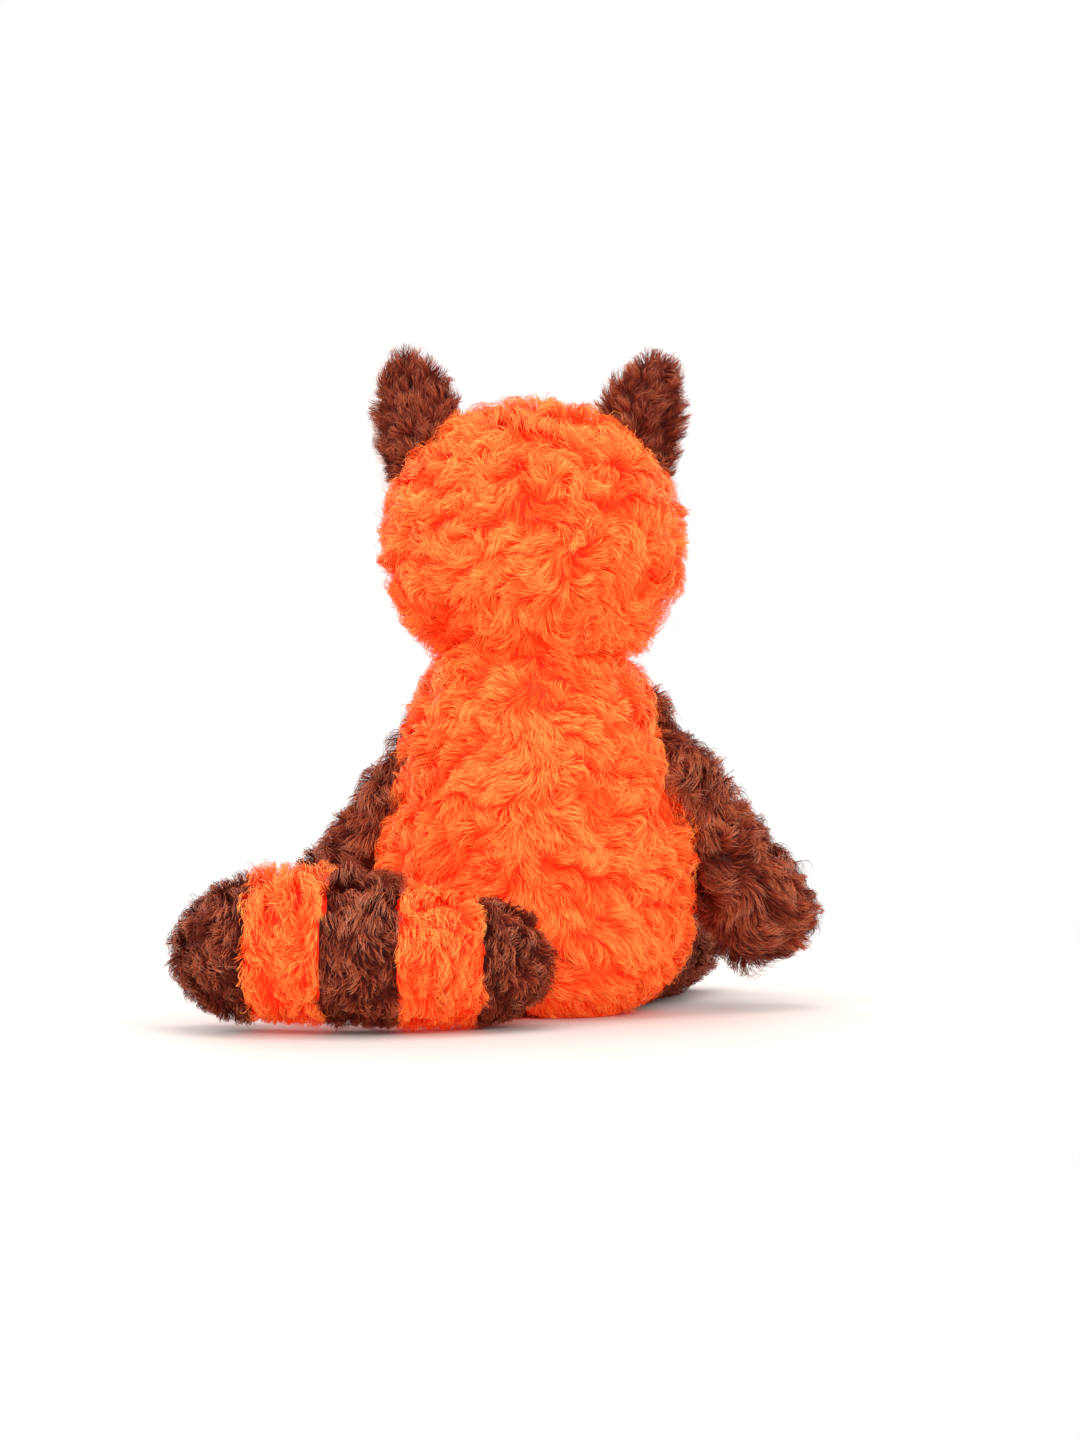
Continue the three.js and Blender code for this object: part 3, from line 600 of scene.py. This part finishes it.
# Covers a skin: cloth panels that stand for the CAD nodes, the filling inside, and the pile on each panel.
def dress(body, skin, panelOf, panels, filled, brush, pileOf, seed, hidden=None, longer=evenly):
    clothThickness = 1.0
    points, quads = skin
    normals = facing(points, quads)
    middle = points[quads].mean(1)
    owner = panelOf(middle, unit(normals[quads].mean(1)))
    rng = np.random.default_rng(seed)
    for index, node in enumerate(panels):
        own = quads[owner == index]
        used, again = np.unique(own, return_inverse=True)
        slotName = slotOf[node]
        cloth = meshObject(node + "_cloth", points[used], again.reshape(own.shape))
        cloth.data.materials.append(soleVelour if slotName == "sole_cloth" else backings[slotName])
        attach(cloth, body)
        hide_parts(node)
        pile = pileOf(node)
        if pile is None:
            continue
        area = (np.linalg.norm(quadFacing(points, own), axis=1) / 2).sum()
        count = int(area * pile["density"])
        roots, facings = sprinkle(rng, points, own, normals, count)
        if hidden is not None:
            shown = ~hidden(roots)
            roots, facings = roots[shown], facings[shown]
        line, facings, bulge, tone = growStrands(rng, roots, facings, brush, pile, longer)
        order = np.argsort(line[:, 0, 2], kind="stable")
        most = mostFaces // (2 * pile["steps"] - 1)
        parts = math.ceil(len(order) / most)
        for part, picked in enumerate(np.array_split(order, parts)):
            name = node + "_pile" + ("" if parts == 1 else "_" + str(part + 1))
            fur = strandMesh(name, line[picked], facings[picked], bulge[picked], tone[picked], rng,
                             pile["width"])
            fur.data.materials.append(piles[slotName])
            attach(fur, body)
    if filled:
        stuffing = meshObject(filled[0] + "_fibre", points - normals * clothThickness, quads)
        stuffing.data.materials.append(filling)
        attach(stuffing, body)
        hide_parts(*filled)
    print(body, "dressed")


# Torso
torso = {
    "flank": [(37, 0), (52, 10), (64, 25), (67, 40), (62, 74), (52, 112)],  # half width and height
    "bottom": (10, 25), "ball": 52, "ballHeight": 112, "depthShare": 0.77, "rounderFrom": 36,
    "sideSeamY": -12, "seatPanel": (34, 26), "seatTop": 8, "underHead": (150, 35),
}
torsoFit = {"voxel": 3.2, "smooth": 5, "inset": 4.2, "lump": 26, "lumpDepth": 1.3}
torsoBrushed = {  # heights, the waves of the middle seam, and shares of the way down
    "neck": (122, 138), "low": (10, 95), "seamWaves": [(7, 9), (3, 3.1)], "parting": 9,
    "down": 0.4, "moreBelow": 0.6, "lessAtNeck": 0.2, "swirl": (0.45, 17, 5),
}
torsoGrown = {  # places across and up, and shares of the pile
    "side": (34, 50), "right": (50, 80), "left": (70, 100), "belowNeck": (118, 134), "neck": (126, 140),
    "armpit": (92, 14), "byRight": 0.5, "byArmpit": 0.45, "byLeft": 0.25, "byNeck": 0.2,
}
backPile = dict(longPile, height=5.3, length=7, stray=26, pinch=0.6, edgeShade=0.7, bulge=0.55)
seatPile = dict(longPile, height=2.2, length=7, density=0.5, loose=0.0)
bellyPile = dict(longPile, density=0.9)


def torsoRings(around=44, flankRings=30, domeRings=18):
    flank = curveThrough(torso["flank"], np.linspace(0, 1, flankRings))
    dome = [(torso["ball"] * math.cos(a), torso["ballHeight"] + torso["ball"] * math.sin(a))
            for a in np.linspace(0.05, math.pi / 2 - 0.03, domeRings)]
    turn = fullTurn(around)
    rings = []
    for radius, height in [*((r, 0) for r in torso["bottom"]), *flank, *dome]:
        share = float(rise(height, torso["rounderFrom"], torso["ballHeight"]))
        deep = torso["depthShare"] + (1 - torso["depthShare"]) * share
        x, y = radius * np.cos(turn), radius * np.sin(turn) * deep
        rings.append(np.stack([x, y, np.full(around, height)], 1))
    return closedRings(rings)


def torsoPanel(places, normals):
    (x, y, z), (halfWidth, halfDepth) = places.T, torso["seatPanel"]
    seat = ((x / halfWidth) ** 2 + (y / halfDepth) ** 2 < 1) & (z < torso["seatTop"])
    return np.where(seat, 2, np.where(y > torso["sideSeamY"], 0, 1))


# The back is brushed away from its middle seam, and more and more downwards below.
def torsoBrush(places, normals):
    way, x, z = torsoBrushed, places[:, 0], places[:, 2]
    neck, low = rise(z, *way["neck"]), 1 - rise(z, *way["low"])
    seam = sum(size * np.sin(z / length) for size, length in way["seamWaves"])
    down = -way["down"] - way["moreBelow"] * low + way["lessAtNeck"] * neck
    main = np.stack([np.tanh((x - seam) / way["parting"]), np.zeros(len(places)), down], 1)
    return swirled(places, normals, main, *way["swirl"])


# The pile fills the neck, and is fuller where it lies over the right shoulder.
def torsoLonger(places):
    grown, x, z = torsoGrown, places[:, 0], places[:, 2]
    right = rise(-x, *grown["side"]) * rise(z, *grown["right"])
    left = rise(x, *grown["side"]) * rise(z, *grown["left"])
    below = 1 - rise(z, *grown["belowNeck"])
    armpit = grown["byArmpit"] * np.exp(-((z - grown["armpit"][0]) / grown["armpit"][1]) ** 2)
    shoulders = ((grown["byRight"] + armpit) * right + grown["byLeft"] * left) * below
    return 1 + grown["byNeck"] * rise(z, *grown["neck"]) + shoulders


def underHead(places):
    height, radius = torso["underHead"]
    return (places[:, 2] > height) & (np.hypot(places[:, 0], places[:, 1]) < radius)


# Places in the ball at the torso's top, which carries the head and the arms.
def insideBall(places, inset):
    return ((places - [0, 0, torso["ballHeight"]]) ** 2).sum(1) < (torso["ball"] - inset) ** 2


dress(
    "torso", softSkin([torsoRings()], torsoFit, seed=1), torsoPanel,
    ["back_cover", "belly_cover", "seat_panel"], ["torso_stuffing", "pellet_bag"], torsoBrush,
    {"back_cover": backPile, "belly_cover": bellyPile, "seat_panel": seatPile}.get, seed=11,
    hidden=underHead, longer=torsoLonger,
)


# Head
head = {
    "centre": (0, -5, 197), "half": (63, 55, 57), "seamY": -12, "inBall": 5,
    "cheek": (41, 178, 13, 17), "brow": (25, 225, 11, 7),  # place across and up, half width and half height
}
headFit = {"voxel": 3.2, "smooth": 4, "inset": 4.2, "lump": 26, "lumpDepth": 1.3}
headBrushed = {
    "nose": (0, -70, 190), "front": (-45, -15), "seamWave": (9, 11), "seamX": -4, "parting": 14,
    "level": 205, "slope": 90, "down": 0.3, "leastDown": 0.1, "swirl": (0.8, 18, 9),
}
headGrown = {"neck": (-172, -158), "crown": (226, 246), "byNeck": 0.3, "byCrown": 0.35}
facePile = dict(longPile, height=4.5, length=6.5, lockArea=45, curl=1.4)
patchPile = dict(facePile, lockArea=35)


def inPatch(places, patch):
    x, z, halfWidth, halfHeight = patch
    return ((np.abs(places[:, 0]) - x) / halfWidth) ** 2 + ((places[:, 2] - z) / halfHeight) ** 2 < 1


def headPanel(places, normals):
    front = places[:, 1] < head["seamY"]
    found = np.where(front, 1, 0)
    right = places[:, 0] < 0
    found = np.where(front & inPatch(places, head["cheek"]), np.where(right, 3, 2), found)
    return np.where(front & inPatch(places, head["brow"]), np.where(right, 5, 4), found)


# The face is brushed away from the nose, and the back of the head away from its middle.
def headBrush(places, normals):
    way, (x, y, z) = headBrushed, places.T
    fromNose = unit(places - way["nose"])
    front = 1 - rise(y, *way["front"])[:, None]
    seam = way["seamWave"][0] * np.sin(z / way["seamWave"][1]) + way["seamX"]
    down = np.minimum((z - way["level"]) / way["slope"] - way["down"], -way["leastDown"])
    away = np.stack([np.tanh((x - seam) / way["parting"]), np.zeros(len(places)), down], 1)
    return swirled(places, normals, fromNose * front + away * (1 - front), *way["swirl"])


def headLonger(places):
    grown, z = headGrown, places[:, 2]
    return 1 + grown["byNeck"] * rise(-z, *grown["neck"]) + grown["byCrown"] * rise(z, *grown["crown"])


dress(
    "head", softSkin([ellipsoidRings(head["centre"], head["half"])], headFit, seed=2), headPanel,
    ["head_back_cover", "face_cover", "cheek_patch_left", "cheek_patch_right", "brow_patch_left",
     "brow_patch_right"],
    ["head_stuffing"], headBrush,
    lambda node: {"head_back_cover": longPile, "face_cover": facePile}.get(node, patchPile), seed=12,
    hidden=lambda places: insideBall(places, head["inBall"]), longer=headLonger,
)

# Muzzle, short-piled and brushed back from the nose
muzzle = {"centre": (0, -53, 181), "half": (27, 25, 19), "nose": (0, -85, 188), "down": 4.0, "inHead": 5}
muzzleFit = {"voxel": 2.2, "smooth": 3, "inset": 2.2, "lump": 15, "lumpDepth": 0.4}
muzzlePile = dict(longPile, height=2.4, length=4.2, density=2.6, lockArea=18, wispArea=2.5, stray=8, curl=0.8,
                  wave=0.3, ragged=0.7, loose=0.01, steps=3)


def insideHead(places):
    scaled = (places - head["centre"]) / (np.array(head["half"]) - muzzle["inHead"])
    return (scaled ** 2).sum(1) < 1


def muzzleBrush(places, normals):
    return places - muzzle["nose"] + [0, 0, -muzzle["down"]]


muzzleForm = ellipsoidRings(muzzle["centre"], muzzle["half"], around=32, count=20)
dress(
    "head", softSkin([muzzleForm], muzzleFit, seed=3), onePanel, ["muzzle_cover"], ["muzzle_stuffing"],
    muzzleBrush, lambda node: muzzlePile, seed=13, hidden=insideHead,
)


# Arms
arm = {
    "shoulder": {"left": (28, -3, 129), "right": (-34, -3, 129)},
    "paw": {"left": (88, -22, 38), "right": (-98, -22, 40)},
    "elbowOut": {"left": 0.5, "right": 2.5}, "radius": 17, "pawRadius": 22, "pawLength": 21, "widerFrom": 0.5,
    "inBall": 3.5,
}
armFit = {"voxel": 2.8, "smooth": 4, "inset": 3.8, "lump": 20, "lumpDepth": 1.2}
armBrushed = {"paw": (30, 60), "out": 0.1, "outAtPaw": 0.8, "pawWay": (0, -1.0, 0.3), "swirl": (0.8, 20)}
armGrown = {  # heights, places across, and shares of the pile
    "low": (20, 36), "outer": (86, 104), "flankFrom": (45, 65), "flankTo": (92, 106), "free": (0, 9),
    "byLow": 0.45, "lessOuter": 0.75, "lessPressed": 0.6,
}
armPile = dict(longPile, height=6.2, length=8.5, lockArea=50, stray=28, edgeShade=0.45)


for sideName, side in sideOf.items():
    shoulder, paw = np.array(arm["shoulder"][sideName]), np.array(arm["paw"][sideName])
    elbowOut = arm["elbowOut"][sideName]
    elbow = (shoulder + paw) / 2 + [side * elbowOut, 0, elbowOut / 2]
    start = shoulder + unit(shoulder - elbow) * arm["radius"] / 2
    end = paw + unit(paw - elbow) * arm["pawLength"]
    path = [start, shoulder, elbow, paw, end]
    length = sum(np.linalg.norm(b - a) for a, b in zip(path, path[1:]))
    pawPlace = 1 - arm["pawLength"] / length
    along = unit(path[-1] - path[0])

    def armRadius(share):
        wider = float(rise(share, arm["widerFrom"], pawPlace))
        return arm["radius"] + (arm["pawRadius"] - arm["radius"]) * wider

    def armBrush(places, normals):
        paw = 1 - rise(places[:, 2], *armBrushed["paw"])[:, None]
        out = np.array([side, 0, 0]) * (armBrushed["out"] + armBrushed["outAtPaw"] * paw)
        main = along + out + np.array(armBrushed["pawWay"]) * paw
        return swirled(places, normals, main, *armBrushed["swirl"], side)

    # The pile is pressed against the flank, deep under the paw's inner half, and thin at its outer corner
    def armLonger(places):
        grown, x, z = armGrown, side * places[:, 0], places[:, 2]
        low, outer = 1 - rise(z, *grown["low"]), rise(x, *grown["outer"])
        widths, heights = np.array(torso["flank"]).T
        flank = rise(z, *grown["flankFrom"]) * (1 - rise(z, *grown["flankTo"]))
        pressed = (1 - rise(x - np.interp(z, heights, widths), *grown["free"])) * flank
        fuller = 1 + low * (grown["byLow"] - grown["lessOuter"] * outer)
        return fuller * (1 - grown["lessPressed"] * pressed)

    body = "arm_" + sideName
    dress(
        body, softSkin([tubeRings(path, armRadius)], armFit, seed=4 + side), onePanel, [body + "_cover"],
        [body + "_stuffing"], armBrush, lambda node: armPile, seed=20 + side,
        hidden=lambda places: insideBall(places, arm["inBall"]), longer=armLonger,
    )


# Legs
leg = {
    "hip": (34, -20), "thigh": 27, "ankle": 22, "ankleX": 57, "raised": 0.5, "footY": -118, "footZ": 30.5,
    "footHalf": (25, 23, 31), "soleY": -131, "soleInset": 1.5, "soleDepth": 3, "soleFacing": 0.7,
    "inTorso": (-38, 48),
}
legFit = {"voxel": 3.0, "smooth": 4, "inset": 1.0, "lump": 22, "lumpDepth": 1.1}
legBrushed = {"out": 0.9, "on": (-0.3, -0.4), "swirl": (0.6, 20)}
legGrown = {"shank": (50, 95), "low": (4, 22), "thighShare": 0.55, "byShank": 0.6, "lowShare": 0.5}
legPile = dict(longPile, density=1.4, height=7, length=9, lockArea=60)


def legLonger(places):
    grown, y, z = legGrown, places[:, 1], places[:, 2]
    share = grown["thighShare"] + grown["byShank"] * rise(-y, *grown["shank"])
    return share * (grown["lowShare"] + (1 - grown["lowShare"]) * rise(z, *grown["low"]))


def insideTorso(places):
    y, halfWidth = leg["inTorso"]
    return (places[:, 1] > y) & (np.abs(places[:, 0]) < halfWidth)


for sideName, side in sideOf.items():
    hip = np.array((side * leg["hip"][0], leg["hip"][1], leg["thigh"] - leg["raised"]))
    ankle = np.array((side * leg["ankleX"], leg["footY"], leg["ankle"] - leg["raised"]))
    shank = tubeRings([hip, (hip + ankle) / 2, ankle],
                      lambda s: leg["thigh"] + (leg["ankle"] - leg["thigh"]) * s, roundStart=False)
    foot = ellipsoidRings((side * leg["ankleX"], leg["footY"], leg["footZ"]), leg["footHalf"],
                          around=34, count=22)
    points, quads = softSkin([shank, foot], legFit, seed=8 + side)
    points[:, 1] = np.maximum(points[:, 1], leg["soleY"] + leg["soleInset"])

    def legPanel(places, normals):
        sole = (places[:, 1] < leg["soleY"] + leg["soleDepth"]) & (normals[:, 1] < -leg["soleFacing"])
        return np.where(sole, 1, 0)

    def legBrush(places, normals):
        main = np.array([legBrushed["out"] * side, *legBrushed["on"]])
        return swirled(places, normals, main, *legBrushed["swirl"], 20 + side)

    body = "leg_" + sideName
    dress(
        body, (points, quads), legPanel, [body + "_cover", "foot_" + sideName + "_sole"],
        [body + "_stuffing"], legBrush, lambda node: None if "sole" in node else legPile, seed=30 + side,
        hidden=insideTorso, longer=legLonger,
    )


# Tail of five sewn rings
tail = {
    "root": (17, 70, 26), "rootRadius": 23.5, "bend": (52, 90), "middleRadius": 29.5, "middleHeight": 32.5,
    "end": (143, 68, 28), "tipRadius": 9, "swell": [(0.82, 27.5), (0.92, 19.5)], "rootSwell": 1,
    "seams": (0.197, 0.411, 0.579, 0.763), "seamTurn": 0.5,
}
tailFit = {"voxel": 2.8, "smooth": 3, "inset": 3.8, "lump": 20, "lumpDepth": 1.0}
tailSwirl = (0.5, 14, 30)
tailGrown = {
    "low": (4, 22), "ringsFrom": (46, 60), "ringsTo": (104, 114), "top": (42, 56),
    "lowShare": 0.7, "byTop": 0.6,
}
tailPile = dict(longPile, height=5, length=5, lockArea=30, wispArea=3.2, stray=26, wispStray=11, curl=1.2)
brownTailPile = dict(tailPile, tone=0.07)

rootBack = tail["rootRadius"] * math.sqrt(0.5)
root, bend, end = tail["root"], tail["bend"], tail["end"]
tailPath = [
    (root[0] - rootBack, root[1] - rootBack, root[2]), root,
    (bend[0], bend[1], (root[2] + tail["middleHeight"]) / 2),
    ((bend[0] + end[0]) / 2, bend[1], tail["middleHeight"]), end,
]
tailSpots = curveThrough(tailPath, np.linspace(0, 1, 300))
tailSwell = curveThrough([
    (0, tail["rootRadius"]), (0.3, (tail["rootRadius"] + tail["middleRadius"]) / 2 + tail["rootSwell"]),
    (0.7, tail["middleRadius"]), *tail["swell"], (1, tail["tipRadius"]),
], np.linspace(0, 1, 60))


def tailRadius(share):
    return float(np.interp(share, *tailSwell.T))


# The rings' seams stand upright and turn only partly with the tail's bend.
def tailPanel(places, normals):
    flat = [1, tail["seamTurn"]]
    apart = places[:, None, :2] * flat - tailSpots[:, :2] * flat
    place = (apart ** 2).sum(2).argmin(1) / (len(tailSpots) - 1)
    return np.searchsorted(tail["seams"], place)


def tailBrush(places, normals):
    return swirled(places, normals, np.array([0, 0, -1.0]), *tailSwirl)


# Pressed where the tail rests, and fluffed up over the two thickest rings.
def tailLonger(places):
    grown, x, z = tailGrown, places[:, 0], places[:, 2]
    fluffed = rise(x, *grown["ringsFrom"]) * (1 - rise(x, *grown["ringsTo"])) * rise(z, *grown["top"])
    return grown["lowShare"] + (1 - grown["lowShare"]) * rise(z, *grown["low"]) + grown["byTop"] * fluffed


dress(
    "tail", softSkin([tubeRings(tailPath, tailRadius, around=36, count=90)], tailFit, seed=9), tailPanel,
    ["tail_root_cover", "tail_ring_orange_inner", "tail_ring_brown", "tail_ring_orange_outer",
     "tail_tip_cover"],
    ["tail_stuffing"], tailBrush, lambda node: tailPile if "orange" in node else brownTailPile, seed=40,
    longer=tailLonger,
)


# Ears
ear = {
    "root": {"left": (44, -10, 225), "right": (-40, -10, 225)}, "length": 53, "halfWidth": 18.5, "back": 6,
    "lining": 3, "cup": 6, "lean": 11, "tipOut": {"left": 0, "right": 4}, "seamBack": 0.4,
    "outline": [(0, 0.92), (0.3, 1), (0.62, 0.9), (0.87, 0.61), (1, 0.22)],  # height and width shares
}
earFit = {"voxel": 1.6, "smooth": 2, "inset": 1.4, "lump": 14, "lumpDepth": 0.5}
earBrushed = {"up": 0.9, "spread": 0.06, "liningOut": 0.7}
earPile = dict(longPile, density=3.2, height=4.2, length=6.5, lockArea=18, wispArea=1.5, stray=28, loose=0.08,
               wispStray=14, curl=1.2, pinch=0.45, edgeShade=0.6, width=0.22, tone=-0.12)
earLiningPile = dict(earPile, height=2.6, length=5, loose=0.03, tone=0.12)


# How far the middle sheet of the cupped ear lies back at a place across it.
def earSheet(x):
    return -ear["cup"] * (x / ear["halfWidth"]) ** 2


def earRings(sideName, turn, base, around=32, count=26):
    outline = curveThrough(ear["outline"], np.linspace(0, 1, 60))
    angle = fullTurn(around)
    rings = []
    for up in np.linspace(0, 1, count):
        share = float(np.interp(up, *outline.T))
        out = sideOf[sideName] * ear["tipOut"][sideName] * up ** 3
        x = ear["halfWidth"] * share * np.cos(angle) + out
        thick = np.where(np.sin(angle) > 0, ear["back"], ear["lining"]) * math.sqrt(share)
        y = thick * np.sin(angle) + earSheet(x)
        rings.append(np.stack([x, y, np.full(around, up * ear["length"])], 1) @ turn.T + base)
    return closedRings(rings)


for sideName, side in sideOf.items():
    lean = math.radians(ear["lean"]) * side
    turn = np.array([[math.cos(lean), 0, math.sin(lean)], [0, 1, 0], [-math.sin(lean), 0, math.cos(lean)]])
    base = np.array(ear["root"][sideName])

    def earPanel(places, normals):
        local = (places - base) @ turn
        return np.where(local[:, 1] > earSheet(local[:, 0]) + ear["seamBack"], 0, 1)

    # Brushed up and spread, with the lining swept to one edge, where it peeps out
    def earBrush(places, normals):
        local = (places - base) @ turn
        swept = np.where(local[:, 1] > earSheet(local[:, 0]), 0, earBrushed["liningOut"])
        across = local[:, 0] * earBrushed["spread"] + swept
        return np.stack([across, np.zeros(len(places)), np.full(len(places), earBrushed["up"])], 1) @ turn.T

    body = "ear_" + sideName
    dress(
        body, softSkin([earRings(sideName, turn, base)], earFit, seed=12 + side), earPanel,
        [body + "_back", body + "_lining"], [], earBrush,
        lambda node: earLiningPile if "lining" in node else earPile, seed=50 + side,
        hidden=insideHead,
    )


# Moulded eyes and nose: a polished dome with a rounded rim, on a stem that holds it in the cloth
moulded = {
    "rim": 1.0, "foot": 0.3, "stem": 2.0, "stemLength": 17, "around": 48,
    "domeTurn": (0.08, 1.55, 18),  # radians from the rim towards the top, and rings
    "edge": [(0.7, 0), (0.93, 0.02), (0.985, 0.14), (1.0, 0.35)],  # share of width, height over foot
}
eye = {"form": head, "across": 25, "height": 203, "half": (7, 7), "dome": 4.5, "topWider": 0}
seats = {
    "eye_left": eye, "eye_right": dict(eye, across=-25),
    "nose": {"form": muzzle, "across": 0, "height": 189, "half": (9, 6.5), "dome": 7, "topWider": 0.12},
}


def seatOn(form, across, height):
    centre, half = np.array(form["centre"]), np.array(form["half"])
    right, up = (across - centre[0]) / half[0], (height - centre[2]) / half[2]
    point = np.array([across, centre[1] - half[1] * math.sqrt(1 - right ** 2 - up ** 2), height])
    return point, unit((point - centre) / half ** 2)


for name, seat in seats.items():
    point, outwards = seatOn(seat["form"], seat["across"], seat["height"])
    sideways = unit(np.cross([0, 0, 1.0], outwards))
    upwards = np.cross(outwards, sideways)
    stem, rim, foot = moulded["stem"], moulded["rim"], moulded["foot"]
    levels = [(None, z) for z in np.linspace(1 - moulded["stemLength"], foot, 6)]
    levels += [(share, foot + up) for share, up in moulded["edge"]] + [(1.0, rim)]
    for a in np.linspace(*moulded["domeTurn"]):
        levels.append((math.cos(a), rim + (seat["dome"] - rim) * math.sin(a)))
    turn = fullTurn(moulded["around"])
    rings = []
    for share, z in levels:
        wide, high = (stem, stem) if share is None else np.array(seat["half"]) * share
        x, y = wide * np.cos(turn), high * np.sin(turn)
        x = x * (1 + seat["topWider"] * y / seat["half"][1])
        rings.append(point + x[:, None] * sideways + y[:, None] * upwards + z * outwards)
    dome = meshObject(name + "_moulded", *closedRings(rings))
    dome.data.materials.append(blackAbs)
    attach(dome, "head")
    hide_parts(name)
print("eyes and nose set")

for name in ("nose_washer", "eye_washer_left", "eye_washer_right"):
    materials = frame["nodes"][name].data.materials
    materials.clear()
    materials.append(nylon)


# Plain pale floor, which fades into a white backdrop away from the toy
stage = {"floorWidth": 6000, "floorColour": "#d8cfc9", "litTo": (260, 520), "worldLight": 0.7}
bpy.ops.mesh.primitive_plane_add(size=stage["floorWidth"] * mm, location=(0, 0, 0))
floor = bpy.context.active_object
floor.name = "floor"
floorMaterial, tree = newMaterial("paleFloor")
shade = addNode(tree, "BsdfPrincipled", {"Base Color": linear(stage["floorColour"]), "Roughness": 0.7})
glow = addNode(tree, "Emission")  # plain white
place = addNode(tree, "TexCoord")
away = addNode(tree, "VectorMath", {0: place.outputs["Object"]}, operation="LENGTH")
near, far = stage["litTo"]
fade = addNode(tree, "MapRange", {
    "Value": away.outputs["Value"], "From Min": near * mm, "From Max": far * mm,
}, interpolation_type="SMOOTHSTEP")
ray = addNode(tree, "LightPath")
seen = addNode(tree, "Math", {0: fade.outputs["Result"], 1: ray.outputs["Is Camera Ray"]},
               operation="MULTIPLY")
mixed = mixShaders(tree, seen.outputs["Value"], shade.outputs["BSDF"], glow.outputs["Emission"])
addNode(tree, "OutputMaterial", {"Surface": mixed})
floor.data.materials.append(floorMaterial)

# Soft light from all round, and pure white where the camera or a highlight sees past the floor
world = bpy.data.worlds.new("studio")
world.use_nodes = True
scene.world = world
tree = world.node_tree
tree.nodes.clear()
ray = addNode(tree, "LightPath")
seen = addNode(tree, "Math", {0: ray.outputs["Is Camera Ray"], 1: ray.outputs["Is Glossy Ray"]},
               operation="MAXIMUM")
soft = addNode(tree, "Background", {"Color": (1, 1, 1, 1), "Strength": stage["worldLight"]})
white = addNode(tree, "Background", {"Color": (1, 1, 1, 1), "Strength": 1.0})
mixed = mixShaders(tree, seen.outputs["Value"], soft.outputs["Background"], white.outputs["Background"])
addNode(tree, "OutputWorld", {"Surface": mixed})

# Large soft boxes: three on the camera's side, two before the face, and one overhead
lamps = {  # place, size in millimetres and power in watts
    "backLeft": ((900, 1100, 900), 900, 10.5),
    "backRight": ((-900, 1100, 900), 900, 9.5),
    "backLow": ((0, 1500, 300), 900, 4),
    "frontLeft": ((800, -1100, 700), 900, 10),
    "frontRight": ((-800, -1100, 700), 900, 9.5),
    "overhead": ((0, 100, 1500), 1000, 10),
}
aim = Vector((0, 0, 0.12))  # middle of the toy, in metres
for name, (place, size, power) in lamps.items():
    light = bpy.data.lights.new(name, "AREA")
    light.shape = "SQUARE"
    light.size = size * mm
    light.energy = power
    made = newObject(name, light)
    made.location = Vector(place) * mm
    made.rotation_euler = (aim - made.location).to_track_quat("-Z", "Y").to_euler()
print("stage set")
